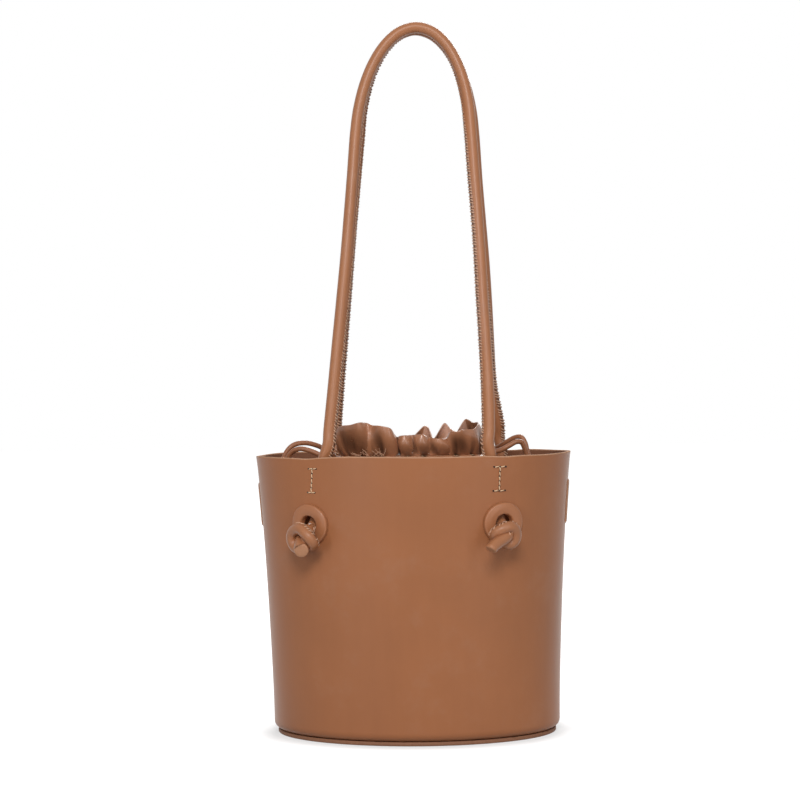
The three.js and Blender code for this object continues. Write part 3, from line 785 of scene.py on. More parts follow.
@dataclass(frozen=True)
class SatinFinish(Finish):
    """Shiny woven cloth, with the weave along the piece's own map, and painted light and shade.

    Args:
        painted_fold_shade: the painted shade deep in the gathers.
        pale_colour: the painted light where light falls through the cloth.
        threads: threads along a metre.
        roughness: the face's roughness.
        relief: how deep the weave is, in metres.
    """

    painted_fold_shade: Colour = (0.040, 0.014, 0.007)
    pale_colour: Colour = (0.62, 0.36, 0.26)
    threads: float = 520.0
    roughness: float = 0.30
    relief: float = 0.00005

    def looks(self, t: Tree) -> dict[str, object]:
        """The weave's tone and relief, painted light and shade, soft crumples and a warm sheen."""
        coordinates = t.add("ShaderNodeTexCoord").outputs
        whole = coordinates["Object"]
        # Painted light on the lit peaks and painted shade in the gathers' hollows, by the pieces'
        # values.
        tone = t.mix(t.value("pale"), self.colour, self.pale_colour)
        tone = t.mix(t.value("dark"), tone, self.painted_fold_shade)
        weave = use(t, Effect.WEAVE, Map=coordinates["UV"], Threads=self.threads, Colour=tone)
        dusty = use(t, Effect.DUST, Place=whole, Colour=weave["Colour"], Amount=0.03)
        crumple = t.noise(whole, 130.0, 4.0, 0.6)
        fine = t.bump(weave["Height"], 0.35, self.relief)
        return {"Base Color": dusty["Colour"], "Normal": t.bump(crumple, 0.35, 0.0012, Normal=fine),
                "Roughness": t.math("MULTIPLY_ADD", crumple, 0.16, self.roughness - 0.08),
                "Specular IOR Level": 0.6, "Sheen Weight": 0.25, "Sheen Roughness": 0.35,
                "Sheen Tint": (0.75, 0.45, 0.3)}


@dataclass(frozen=True)
class BoardFinish(Finish):
    """Pressed fibre board: short fibres in two tones."""

    def looks(self, t: Tree) -> dict[str, object]:
        """Two tones and a relief from one fibre noise."""
        fibres = t.noise(t.add("ShaderNodeTexCoord").outputs["Object"], 700.0, 5.0, 0.75)
        light = tuple(1.7 * c for c in self.colour)
        return {"Base Color": t.mix(t.spread(fibres, 0.35, 0.65), self.colour, light),
                "Normal": t.bump(fibres, 0.4, 0.0002), "Roughness": 0.86}


WALL_LEATHER = LeatherFinish("bucket_leather", (0.340, 0.130, 0.054), roughness=0.37,
                             specular=0.22)
SOLE_LEATHER = LeatherFinish("sole_leather", (0.200, 0.083, 0.042), roughness=0.62, pores=900.0)
RING_LEATHER = LeatherFinish("ring_leather", (0.375, 0.148, 0.064), mapped=True, relief=0.00005,
                             roughness=0.38, specular=0.36)
CORD_LEATHER = LeatherFinish("cord_leather", (0.365, 0.147, 0.064), mapped=True, pores=1500.0,
                             roughness=0.36, relief=0.00004, specular=0.3)
STRING_LEATHER = LeatherFinish("string_leather", (0.300, 0.118, 0.054), mapped=True,
                               pores=1800.0, roughness=0.42, relief=0.00003)
POUCH_SATIN = SatinFinish("pouch_satin", (0.390, 0.166, 0.082), (0.028, 0.010, 0.005))
LINING_SATIN = SatinFinish("lining_cloth", (0.120, 0.050, 0.026), roughness=0.55)
WHIP_THREAD = ThreadFinish("whip_thread", (0.60, 0.36, 0.235))
SEWING_THREAD = ThreadFinish("sewing_thread", (0.76, 0.54, 0.34))
LOOSE_THREAD = ThreadFinish("loose_thread", (0.50, 0.275, 0.17))
# Painted shade: near-black dots that stand for the shade in the needle holes.
HOLE_PAINTED_SHADE = BoardFinish("needle_hole_painted_shade", (0.016, 0.007, 0.004))
BASE_BOARD = BoardFinish("base_board", (0.075, 0.045, 0.030))


# The bag's outline and its places.


@dataclass(frozen=True)
class Oval:
    """The bucket's outline: an oval that widens evenly from the floor to the rim.

    Args:
        base: half width and half depth at the floor.
        rim: half width and half depth at the rim.
        height: the rim's height.
        waist: how far the soft ends are drawn in half way up.
    """

    base: tuple[float, float] = (102 * MM, 68 * MM)
    rim: tuple[float, float] = (112 * MM, 75 * MM)
    height: float = 197 * MM
    waist: float = 2.2 * MM

    def halves(self, z: Array | float) -> tuple[Array, Array]:
        """Half width and half depth at a height: linear, less waist (4 s (1 - s))^0.7 in width."""
        share = np.asarray(z, float) / self.height
        pinch = self.waist * (4 * share * (1 - share)).clip(0, 1) ** 0.7
        return tuple(b + (r - b) * share - p for b, r, p in zip(self.base, self.rim, (pinch, 0.0)))

    def point(self, angle: Array, z: Array, out: Array,
              halves: tuple[Array, Array] | None = None) -> Array:
        """A point of the oval (a cos t, b sin t, z), moved out along the oval's own normal.

        Args:
            angle: t, in radians from +X towards the rear.
            z: height.
            out: distance out.
            halves: a and b, or None for the bucket's at that height.

        Returns:
            The places, with the inputs broadcast together.
        """
        a, b = self.halves(z) if halves is None else halves
        c, s = np.cos(angle), np.sin(angle)
        normal = unit(np.stack(np.broadcast_arrays(b * c, a * s, 0.0 * z), axis=-1))
        flat = np.stack(np.broadcast_arrays(a * c, b * s, z + 0.0 * c), axis=-1)
        return flat + normal * np.broadcast_to(out, normal.shape[:-1])[..., None]


@dataclass(frozen=True)
class WallPlace:
    """A place on the wall: u runs round the oval, v up it and n out of its outer face.

    Args:
        oval: the bucket's outline.
        angle: where on the oval, in radians.
        z: the height.
    """

    oval: Oval
    angle: float
    z: float

    def at(self, u: Array, v: Array, n: Array) -> Array:
        """The point at u, v, n, bent round the wall."""
        a, b = self.oval.halves(self.z)
        pace = math.hypot(a * math.sin(self.angle), b * math.cos(self.angle))
        u, v, n = np.broadcast_arrays(np.asarray(u, float), v, n)
        return self.oval.point(self.angle + u / pace, self.z + v, n)

    def axes(self) -> tuple[Array, Array, Array]:
        """The directions of u, v and n at the place itself."""
        a, b = self.oval.halves(self.z)
        out = unit(np.array([b * math.cos(self.angle), a * math.sin(self.angle), 0.0]))
        return np.cross(UP, out), UP, out

    def straight(self, points: Array) -> Array:
        """Points given as u, v, n on straight axes through the place."""
        return self.at(0, 0, 0) + np.asarray(points, float) @ np.stack(self.axes())


LEG_SPREADS = {Depth.FRONT: 57.23 * MM, Depth.REAR: 61.6 * MM}


@dataclass(frozen=True)
class Corner:
    """One of the four places where a handle's leg is tied.

    Args:
        depth: front or rear.
        side: left or right.
        oval: the bucket's outline.
        ring_spread: how far the ring is from the middle.
        ring_drop: how far the ring is below the rim.
        leg_inset: how far the leg's middle is in from the wall's outer face.
        keeper_middle: how far the keeper's middle is above the ring's.
        keeper_half: half the keeper's height.
    """

    depth: Depth
    side: Side
    oval: Oval = Oval()
    ring_spread: float = 66 * MM
    ring_drop: float = 46 * MM
    leg_inset: float = 8.1 * MM
    keeper_middle: float = 30.5 * MM
    keeper_half: float = 10 * MM

    @property
    def name(self) -> str:
        """The corner's name as the part's nodes write it."""
        return f"{self.depth.word}_{self.side.word}"

    @property
    def hand(self) -> int:
        """Which way round the oval the middle of the front or rear lies."""
        return -self.side.value * self.depth.value

    @property
    def place(self) -> WallPlace:
        """The ring's middle."""
        z = self.oval.height - self.ring_drop
        share = self.side.value * self.ring_spread / self.oval.halves(z)[0]
        return WallPlace(self.oval, self.depth.value * math.acos(share), z)

    def away(self, angle: Array) -> Array:
        """The angle round the oval from the ring, between -pi and pi."""
        return np.angle(np.exp(1j * (angle - self.place.angle)))

    def leg_line(self, v: Array, n: Array | None = None, aside: Array = 0.0) -> Array:
        """The leaning line of the leg inside the wall, at aside - hand * lean * v, v, n.

        Without n it is the leg's own middle.
        """
        lean = (self.ring_spread - LEG_SPREADS[self.depth]) / self.ring_drop
        v = np.asarray(v, float)
        return self.place.at(aside - self.hand * lean * v, v, -self.leg_inset if n is None else n)


CORNERS = [Corner(depth, side) for depth in Depth for side in Side]


# The bucket.


@dataclass
class Bucket:
    """The wall, the sole, the four rings, the keepers and their stitches, and the side straps.

    Args:
        oval: the wall's outline.
        thickness: the wall's.
        edge_round: the rounding of its rim.
        foot_radius, foot_width: the rounding of its foot, and how far it is turned in below.
        sole_thickness, sole_inset: the sole's thickness and its distance in from the oval.
        gap: the air between two pieces.
        ring_radius, ring_hole, ring_thickness, ring_round: the rings' sizes.
        strap_width, strap_thickness: the side straps' section.
        strap_gap: the air between a strap and the wall.
        strap_span, strap_tail: between a strap's two slits, and on from them inside the wall.
        strap_drop: how far its middle is below the rim.
        columns: points round the wall.
    """

    oval: Oval = Oval()
    thickness: float = 2 * MM
    edge_round: float = 0.6 * MM
    foot_radius: float = 5.5 * MM
    foot_width: float = 12 * MM
    sole_thickness: float = 2.8 * MM
    sole_inset: float = 3 * MM
    gap: float = 0.3 * MM
    ring_radius: float = 14 * MM
    ring_hole: float = 6 * MM
    ring_thickness: float = 3 * MM
    ring_round: float = 1.3 * MM
    strap_width: float = 12 * MM
    strap_thickness: float = 1.2 * MM
    strap_gap: float = 0.1 * MM
    strap_span: float = 31 * MM
    strap_tail: float = 14 * MM
    strap_drop: float = 35 * MM
    columns: int = 420

    def wall_profile(self) -> tuple[Array, Array, dict[str, Array]]:
        """The wall's outline in a plane through the axis, as inset and height, all round.

        It goes over the rounded rim, down the outer face, round the foot, under it and back up
        the inner face.

        Returns:
            The insets, the heights, and the values "edge", "inside" and "dark" at each point.
        """
        t, r, bend, top = self.thickness, self.edge_round, self.foot_radius, self.oval.height
        foot, tall = self.sole_thickness + self.gap, 44
        high, low = top - 1.5 * r, foot + bend + 1 * MM
        turn = quarter()
        sin, cos = np.sin(turn), np.cos(turn)
        parts = [
            (r - r * sin, top - r + r * cos, 1.0, 0.0, 0.0),
            (np.zeros(tall), np.linspace(high, low, tall), 0.0, 0.0, 0.0),
            (bend * (1 - cos), foot + bend * (1 - sin), 0.0, 0.0, 0.0),
            # Painted shade, 0.5 in the last place, under the turned-in foot.
            (np.linspace(bend + 1 * MM, self.foot_width, 4), np.full(4, foot), 0.0, 0.0, 0.5),
            (np.full(2, self.foot_width), foot + t * np.array([0.3, 1.0]), 1.0, 0.0, 0.0),
            (bend - (bend - t) * sin, foot + bend - (bend - t) * cos, 0.0, 1.0, 0.0),
            (np.full(tall, t), np.linspace(low, high, tall), 0.0, 1.0, 0.0),
            (t - r + r * cos, top - r + r * sin, 1.0, 0.3, 0.0),
        ]
        inset, z = (np.concatenate([p[k] for p in parts]) for k in (0, 1))
        values = {name: np.concatenate([np.full(len(p[0]), p[k]) for p in parts])
                  for k, name in ((2, "edge"), (3, "inside"), (4, "dark"))}
        return inset, z, values

    def unevenness(self, angle: Array, z: Array) -> Array:
        """How far soft leather stands in or out of the true oval.

        A sum of slow waves round the wall, each stronger towards the free rim, and a slight
        pull inwards beside each leg of a handle.
        """
        rise = z / self.oval.height
        waves = 0.35 * np.sin(2 * angle + 0.7) + 0.22 * np.sin(5 * angle + 2.1) * rise
        waves = waves + 0.12 * np.sin(9 * angle + 0.4 + 3 * rise) * rise**2
        pulls = 0.0
        for corner in CORNERS:
            pulls = pulls - 0.35 * np.exp(-((corner.away(angle) / 0.12) ** 2)) * rise**6
        return (waves + pulls) * 0.8 * MM * smoothstep(rise, 0.05, 0.4)

    def wall(self) -> Piece:
        """The wall, with a slightly wavy rim and with the ring holes and slits cut through it."""
        inset, z, values = self.wall_profile()
        angle = around(self.columns)[None, :]
        inset, z = inset[:, None], z[:, None]
        dip = sum(np.exp(-((corner.away(angle) / 0.10) ** 2)) for corner in CORNERS)
        wave = 0.35 * np.sin(3 * angle + 0.9) + 0.25 * np.sin(7 * angle + 2.0) - 0.7 * dip
        height = z + wave * MM * (z / self.oval.height) ** 8
        points = self.oval.point(angle, height, self.unevenness(angle, z) - inset)
        shape = ring(points, **{name: v[:, None] for name, v in values.items()})
        made = piece("bucket_wall_leather", shape, WALL_LEATHER.material())
        self.cut(made)
        return ride(made, "bucket_leather", "bucket_wall")

    def cut(self, wall: Piece) -> None:
        """Takes the round holes and the slits out of the wall."""
        reach = np.array([-6.0, 5.0]) * MM
        tools = []
        for corner in CORNERS:
            line = corner.place.straight([[0, 0, n] for n in reach])
            across = np.stack([corner.place.axes()[0]] * 2)
            tools.append(tube(line, circle(self.ring_hole, 40), across, dome=0.0))
        half_u = self.strap_width / 2 + self.gap
        half_v = self.strap_thickness / 2 + self.gap
        u = np.array([-1, 1, 1, -1]) * half_u
        for place in map(self.strap_place, Side):
            for end in (-1, 1):
                v = end * self.strap_span / 2 + np.array([-1, -1, 1, 1]) * half_v
                rows = np.stack([place.at(u, v, n) for n in reach])
                tools.append(grid(capped(rows), ring_columns=True))
        cutter = piece("wall_cutter", joined(tools), wall.data.materials[0])
        step = wall.modifiers.new("openings", "BOOLEAN")
        step.object, step.solver, step.operation = cutter, "EXACT", "DIFFERENCE"
        keep_modified(wall)
        bpy.data.objects.remove(cutter)

    def plate(self, node: str, low: float, thick: float, inset: float, soft: float,
              finish: Finish, slot: str) -> None:
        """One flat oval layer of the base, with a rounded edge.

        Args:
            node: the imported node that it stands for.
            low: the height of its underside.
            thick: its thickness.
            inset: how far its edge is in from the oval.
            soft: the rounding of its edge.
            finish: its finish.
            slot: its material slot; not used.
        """
        angle, turn, shares = around(240)[None, :], quarter(5), np.linspace(0, 1, 7)[:-1]
        flat = np.full(len(shares), soft)
        side_in = np.r_[soft - soft * np.sin(turn), soft - soft * np.cos(turn)]
        side_z = np.r_[low + soft - soft * np.cos(turn), low + thick - soft + soft * np.sin(turn)]
        size = np.r_[shares, np.ones(len(side_in)), shares[::-1]][:, None]
        drop = np.r_[flat, side_in, flat][:, None]
        z = np.r_[np.full(len(shares), low), side_z, np.full(len(shares), low + thick)]
        rim = self.oval.point(angle, z[:, None], -inset - drop, self.oval.halves(low))
        points = np.concatenate([rim[..., :2] * size[..., None], rim[..., 2:]], axis=-1)
        edge = np.where(size < 1, 0.0, 0.4)
        made = piece(f"{node}_layer", grid(points, ring_columns=True, edge=edge),
                     finish.material(), crease=50)
        ride(made, slot, node)

    def base(self) -> None:
        """The sole, the board and the lining."""
        floor = self.sole_thickness + self.gap + self.thickness + self.gap
        board, lining = 2.4 * MM, 1.2 * MM
        self.plate("base_sole", 0.0, self.sole_thickness, self.sole_inset, 0.8 * MM,
                   SOLE_LEATHER, "sole_leather")
        self.plate("base_board", floor, board, self.foot_radius + self.gap, 0.5 * MM,
                   BASE_BOARD, "base_board")
        self.plate("base_lining", floor + board + self.gap, lining, self.thickness + 1 * MM,
                   0.4 * MM, LINING_SATIN, "lining")

    def rings(self) -> None:
        """Leather rings on the wall: a rounded washer section carried round the hole.

        The section's crown is a half wave from hole to rim, so the face is domed as pressed
        leather is.
        """
        turn, across = quarter(), np.linspace(0, 1, 9)[1:-1]
        hole, rim, top, r = self.ring_hole, self.ring_radius, self.ring_thickness, self.ring_round
        radius = np.r_[[hole], hole + r - r * np.cos(turn),
                       hole + r + (rim - hole - 2 * r) * across, rim - r + r * np.sin(turn), [rim]]
        crown = 0.35 * MM * np.sin(np.pi * across)
        out = np.r_[[0], top - r + r * np.sin(turn), top + crown, top - r + r * np.cos(turn), [0]]
        angle = around(80)[:, None]
        for corner in CORNERS:
            points = corner.place.at(radius * np.sin(angle), radius * np.cos(angle),
                                     self.gap + out)
            made = piece(f"{corner.name}_ring_leather", ring(points), RING_LEATHER.material(),
                         crease=60)
            ride(made, "cord_leather", f"{corner.name}_ring")

    def keepers(self) -> None:
        """Leather loops round the cord behind the rim.

        The outer size at angle a from the wall is d / cos a on the foot, the half width over
        sin a beside it, and the sleeve's radius elsewhere.
        """
        bore, sleeve, half_foot, soft = 4.3 * MM, 5.8 * MM, 4.5 * MM, 0.35 * MM
        a = np.linspace(-np.pi, np.pi, 96, endpoint=False)
        slope = np.maximum(np.abs(np.sin(a)), 1e-6)
        beside = np.where(np.abs(a) < np.pi / 2, np.maximum(sleeve, half_foot / slope), sleeve)
        outer = np.where(np.abs(a) < math.atan2(half_foot, sleeve), sleeve / np.cos(a), beside)
        rows = np.array([-1, -0.97, -0.9, -0.5, 0, 0.5, 0.9, 0.97, 1])
        grow = 1 - soft / sleeve * np.array([1, 0.35, 0, 0, 0, 0, 0, 0.35, 1])
        size = np.r_[outer[None] * grow[:, None], np.full((2, len(a)), bore)]
        level = np.r_[rows, [1, -1]][:, None]
        edge = np.where(np.abs(level) > 0.95, 1.0, 0.0)
        for corner in CORNERS:
            points = corner.leg_line(corner.keeper_middle + level * corner.keeper_half,
                                     -corner.leg_inset + size * np.cos(a), size * np.sin(a))
            made = piece(f"{corner.name}_keeper_leather", ring(points, edge=edge),
                         WALL_LEATHER.material(), crease=40)
            ride(made, "bucket_leather", f"{corner.name}_keeper")

    def keeper_stitches(self) -> None:
        """The sewing that holds each keeper: an upright bar between two short ones."""
        top, low, aside = 38.3 * MM, 22.0 * MM, 3.4 * MM
        stitch = thread(2.75 * MM, 0.78 * MM, 0.42 * MM, slant=0.5 * MM)
        for corner in CORNERS:
            lean, half = (0.13, 2.9 * MM) if corner.name == "front_left" else (0.0, 4.2 * MM)
            place, tall = corner.place, np.linspace(top, low, 6)
            spine = np.stack([(tall - tall[-1]) * lean, tall], axis=1)
            bars = [np.stack([spine[k, 0] + np.array([-half, 0, half]), np.full(3, tall[k])],
                             axis=1) for k in (0, -1)]
            starts = np.concatenate([spine[:-1], *(bar[:-1] for bar in bars)])
            ends = np.concatenate([spine[1:], *(bar[1:] for bar in bars)])
            shift = aside * corner.side.value * corner.depth.value - spine[0, 0] / 2
            for part in (starts, ends):
                part[:, 0] += shift
            p, q = (place.at(x[:, 0], x[:, 1], 0.12 * MM) for x in (starts, ends))
            out = unit(place.at(starts[:, 0], starts[:, 1], 1 * MM) - p)
            travel = unit(q - p)
            sew(f"{corner.name}_keeper_stitches", stitch, (p + q) / 2, out, travel,
                SEWING_THREAD, "cord_leather")
            spots = np.unique(np.round(np.r_[p, q], 6), axis=0)
            self.holes(f"{corner.name}_keeper_holes", spots, out[0])

    def holes(self, name: str, spots: Array, out: Array) -> None:
        """Painted shade for needle holes: small near-black dimples at these spots in the outer
        face.
        """
        line = np.array([[0, -0.30, 0], [0, 0.03, 0]]) * MM
        dot = round_tube(line, np.array([0.55, 0.62]) * MM, 10, dome=0.1)
        outs = np.tile(out, (len(spots), 1))
        rights = np.tile(unit(np.cross(out, UP)), (len(spots), 1))
        shapes = repeated(dot, spots, rights, outs, np.cross(rights, outs))
        ride(piece(name, shapes, HOLE_PAINTED_SHADE.material()), "cord_leather")

    def strap_place(self, side: Side) -> WallPlace:
        """The middle of a side strap."""
        angle = math.pi if side is Side.LEFT else 0.0
        return WallPlace(self.oval, angle, self.oval.height - self.strap_drop)

    def straps(self) -> None:
        """Side straps: a flat band that lies on the wall and dives through a slit at each end."""
        outside = self.strap_gap + self.strap_thickness / 2
        inside = -self.thickness - self.gap - self.strap_thickness / 2
        bend, tail, soft = self.strap_span / 2, self.strap_span / 2 + self.strap_tail, 0.9 * MM
        half = [(inside, tail), (inside, tail - 4 * MM), (inside, bend + 3 * soft),
                (inside + 0.25 * soft, bend + soft), (inside + soft, bend + 0.2 * soft),
                (-self.thickness / 2, bend), (outside - soft, bend - 0.2 * soft),
                (outside - 0.25 * soft, bend - soft), (outside, bend - 3 * soft),
                (outside, bend - 8 * MM)]
        line = np.array([(n, v, 0.0) for n, v in half] + [(n, -v, 0.0) for n, v in half[::-1]])
        flat = smooth_path(line, 0.5 * MM)
        along, at = tangents(flat), arc(flat)
        normal = np.stack([-along[:, 1], along[:, 0]], axis=1)
        share = np.linspace(-1, 1, 13)
        lift = 0.5 * self.strap_thickness * np.sqrt(1 - 0.75 * np.abs(share) ** 8)
        section = np.r_[np.stack([share, lift], axis=1), np.stack([share, -lift], axis=1)[::-1]]
        rounding = np.sqrt(np.clip(np.minimum(at, at[-1] - at) / (2.5 * MM), 0.0, 1.0))
        u = section[None, :, 0] * self.strap_width / 2 * (0.55 + 0.45 * rounding[:, None])
        n, v = (flat[:, None, k] + normal[:, None, k] * section[None, :, 1] for k in (0, 1))
        edge = np.where(np.abs(section[:, 0]) > 0.97, 0.9, 0.0)[None, :]
        stitch = thread(2.9 * MM, 0.7 * MM, 0.35 * MM)
        spots = np.array([(x, y) for y in (1, -1) for x in (-3.6, 0, 3.6)])
        rows = spots[:, 1] * (tail - 5 * MM)
        for side in Side:
            place = self.strap_place(side)
            shape = grid(capped(place.at(u, v, n)), ring_columns=True, edge=edge)
            made = piece(f"{side.word}_strap_leather", shape, WALL_LEATHER.material(), crease=60)
            ride(made, "bucket_leather", f"{side.word}_side_strap")
            centre = place.at(spots[:, 0] * MM, rows, inside - self.strap_thickness / 2)
            out = unit(centre - place.at(spots[:, 0] * MM, rows, inside))
            sew(f"{side.word}_strap_stitches", stitch, centre, out, unit(np.cross(out, UP)),
                SEWING_THREAD, "cord_leather")

    def build(self) -> None:
        """Builds every piece of the bucket."""
        self.wall()
        self.base()
        self.rings()
        self.keepers()
        self.keeper_stitches()
        self.straps()


# The handles.


@dataclass(frozen=True)
class Knot:
    """An overhand knot on a ring, in millimetres across, up and out from the ring's middle.

    It is laid down over the ring, round to the front over its own start, behind itself and out
    through the loop. Then it is drawn tight, pressed flat and set to its place.

    Args:
        laid: points of the loose knot, from the ring to the cut end.
        squeeze, middle: the share of its width that stays clear of the wall, and about where.
        rise, aside: how far the clear part is moved up and across.
        pull: how far the cut end is moved, across and up.
        start: points through the ring that stay where they are.
        size: how much larger the loose knot is than laid, in each direction.
        press: the depth beyond which it is flattened, and the share that is taken away.
        slope: the depth beyond which it leans aside, and how far for each unit out.
        clear: the depths between which it comes clear of the wall.
        end: the length of the cut end.
    """

    laid: tuple[tuple[float, float, float], ...]
    squeeze: float
    middle: float
    rise: float
    pull: tuple[float, float]
    start: tuple[tuple[float, float, float], ...] = ((0, -2.6, -1.5), (0, -3.2, 3.6))
    size: tuple[float, float, float] = (1.06, 1.15, 1.05)
    press: tuple[float, float] = (9.0, 0.25)
    slope: tuple[float, float] = (4.0, 0.4)
    clear: tuple[float, float] = (3.0, 8.0)
    aside: float = -1.7
    end: float = 20.0

    def line(self, radius: float) -> Array:
        """The tight knot's middle line, for a cord of this radius."""
        laid = (np.array(self.laid) - [0, -6, 0]) * self.size + [0, -4.6, 0]
        line = Tightening().draw(smooth_path(np.r_[self.start, laid], 1.0), radius)
        line[:, 2] -= self.press[1] * np.maximum(line[:, 2] - self.press[0], 0.0)
        line[:, 0] -= self.slope[1] * np.maximum(line[:, 2] - self.slope[0], 0.0)
        clear = smoothstep(line[:, 2], *self.clear)
        end = smoothstep(arc(line), arc(line)[-1] - self.end, arc(line)[-1])
        narrowed = (line[:, 0] - self.middle) * (self.squeeze - 1) + self.aside
        line[:, 0] += narrowed * clear + self.pull[0] * end
        line[:, 1] += self.rise * clear + self.pull[1] * end
        return line


FACE_ON_KNOT = Knot(
    laid=((-0.6, -2, 9), (-1.6, -6, 12.5), (-1.9, -9.5, 13.5), (0.4, -14.7, 13), (4.0, -17.2, 12.5),
          (8.1, -17.3, 12), (10.7, -14.2, 12), (11.2, -8.4, 12.5), (9.3, -3.2, 14),
          (6.2, 0.3, 17.5), (1.8, -1.6, 20.5), (-1.3, -5.6, 21.5), (-3.6, -9.8, 20.5),
          (-4.9, -13.9, 16.5), (-2.8, -15.8, 11), (0.3, -15.8, 6.5), (2.4, -14.6, 6),
          (4.6, -14.6, 9), (4.9, -15, 12), (4.6, -15.2, 16), (4.4, -15.3, 19), (4.3, -15.4, 21)),
    squeeze=0.94, middle=0.0, rise=1.9, pull=(-2.6, -2.4))
ASIDE_KNOT = Knot(
    laid=((-0.3, -2, 9), (-0.5, -5.5, 12), (0.5, -10, 13), (3, -14.5, 12.5), (6.5, -16, 12),
          (10, -13, 12.5), (10.8, -8, 14), (9, -3.6, 17.5), (4.5, -2, 20.5), (-0.5, -2.6, 21.5),
          (-5, -4.8, 20), (-7, -8.2, 15.5), (-6.0, -11, 10.5), (-2.5, -12, 7.5), (2, -11.6, 7),
          (5, -10.5, 10), (4.2, -9.8, 15), (1.2, -10.5, 20), (-2.5, -13.5, 22.5),
          (-5.5, -17, 23.5)),
    squeeze=0.78, middle=-6.0, rise=0.6, pull=(-6.0, 1.0))

SEAM_STATIONS = (0.0, 0.10, 0.20, 0.35, 0.5, 0.6, 0.7, 1.0)
LEG_STATIONS = np.array([0.0, 0.15, 0.3, 0.45, 0.6, 0.75, 0.88])
TOP_STATIONS = np.array([0.08, 0.2, 0.35, 0.5, 0.66, 0.82, 1.0]) * np.pi / 2


@dataclass
class Handle:
    """One rolled handle from knot to knot: the cord with its raised seam, and the seam's stitches.

    Args:
        depth: front or rear.
        seam_turns: how far the seam is turned from the inner side of the left and the right leg
            towards the front, in radians, at the shares SEAM_STATIONS of the way to the end.
        bows: how far each leg stands out from a straight line at LEG_STATIONS, in millimetres.
        lean: how far the top stands to the right of the middle.
        cap_half: half the distance between the legs where the round top begins.
        radius, knot_radius: the cord's radius, and that in the knots.
        cut_swell: how much thicker a front handle's cut ends are.
        bare: the length at each end with no stitches.
        top, cap_rise: the height of the top, and how far it rises above the legs.
        top_gap: half the air between the two handles' tops.
        rim, pivot: the heights of the bucket's rim and of the line that the handle swings about.
        bend_low, bend_high: the heights between which the cord bends as the handle swings; not
        used.
        inset: how far the legs' middle is in from the wall's outer face at the rim.
        seam_height, seam_half: how far the seam's ridge stands out, and half its width.
        pitch: the distance between stitches.
    """

    depth: Depth
    seam_turns: tuple[tuple[float, ...], tuple[float, ...]]
    bows: tuple[tuple[float, ...], tuple[float, ...]]
    lean: float
    cap_half: float
    radius: float = 4 * MM
    knot_radius: float = 3.95 * MM
    cut_swell: float = 1.1 * MM
    bare: float = 17 * MM
    top: float = 503.5 * MM
    top_gap: float = 0.45 * MM
    cap_rise: float = 83 * MM
    inset: float = 7 * MM
    rim: float = Oval.height
    pivot: float = 214 * MM
    bend_low: float = 0.1925
    bend_high: float = 0.2145
    seam_height: float = 1.0 * MM
    seam_half: float = 1.15 * MM
    pitch: float = 2.3 * MM

    def corners(self) -> tuple[Corner, Corner]:
        """The left and the right corner that this handle is tied at."""
        return tuple(Corner(self.depth, side) for side in Side)

    def root(self) -> Array:
        """The right leg's middle at rim height, against the wall."""
        oval = Corner.oval
        angle = self.depth.value * math.acos(LEG_SPREADS[self.depth] / oval.rim[0])
        return oval.point(np.array(angle), np.array(self.rim), -self.inset)

    def plane_point(self, across: Array, z: Array) -> Array:
        """A point of the leaning plane: across, y between the root and the top, and the height."""
        apex = self.top - self.radius
        share = (np.asarray(z, float) - self.rim) / (apex - self.rim)
        low, high = self.root()[1], self.depth.value * (self.radius + self.top_gap)
        y = low + (high - low) * share
        return np.stack(np.broadcast_arrays(across + share * self.lean, y, z), axis=-1)

    def arch(self) -> Array:
        """Points over the top from left to right: leaning, bowed legs under a half oval."""
        apex = self.top - self.radius
        foot, start = apex - self.cap_rise, self.pivot + 0.25 * MM
        half = self.root()[0]
        legs, turn = LEG_STATIONS, TOP_STATIONS
        x = np.r_[half + (self.cap_half - half) * legs, self.cap_half * np.cos(turn)]
        z = np.r_[start + (foot - start) * legs, foot + self.cap_rise * np.sin(turn)]
        left, right = (x + np.r_[np.array(bow) * MM, 0 * turn] for bow in self.bows)
        return self.plane_point(np.r_[-left[:-1], right[::-1]], np.r_[z[:-1], z[::-1]])

    def bend(self, corner: Corner, bow: float) -> Array:
        """The two points of a leg at the rim, which share the bow of the leg above."""
        across = corner.side.value * (self.root()[0] + 0.8 * bow)
        low = corner.leg_line(np.array([45.6 * MM]), aside=corner.hand * 0.5 * bow)
        high = self.plane_point(np.array([across]), np.array([self.pivot - 8.15 * MM]))
        return np.r_[low, high]

    def tail(self, corner: Corner) -> Array:
        """Points from the rim to the cut end: behind the keeper, out through the ring, the knot."""
        middle, half = corner.keeper_middle, corner.keeper_half
        run = corner.leg_line(np.array([41.5 * MM, middle + half, middle, middle - half,
                                        10.4 * MM]))
        turn = np.array([[0, 0.62, -0.98], [0, 0.2, -0.72]]) * 8 * MM
        knot = FACE_ON_KNOT if corner.name == "front_left" else ASIDE_KNOT
        laid = knot.line(self.knot_radius / MM) * MM * [corner.hand, 1, 1]
        return np.r_[run, corner.place.straight(turn), corner.place.straight(laid)]

    def line(self) -> tuple[Array, float, float]:
        """The whole middle line, with the distances along it at which each end leaves its ring."""
        left, right = self.corners()
        tails = [self.tail(corner) for corner in (left, right)]
        bends = [self.bend(corner, bow[0] * MM) for corner, bow in zip((left, right), self.bows)]
        line = smooth_path(np.r_[tails[0][::-1], bends[0], self.arch(), bends[1][::-1],
                                 tails[1]], 1.0 * MM)
        along, middle = arc(line), len(line) // 2
        first, last = (
            along[part][np.linalg.norm(line[part] - corner.place.at(0, 0, 0), axis=1).argmin()]
            for part, corner in ((slice(middle), left), (slice(middle, None), right)))
        return line, float(first), float(last)

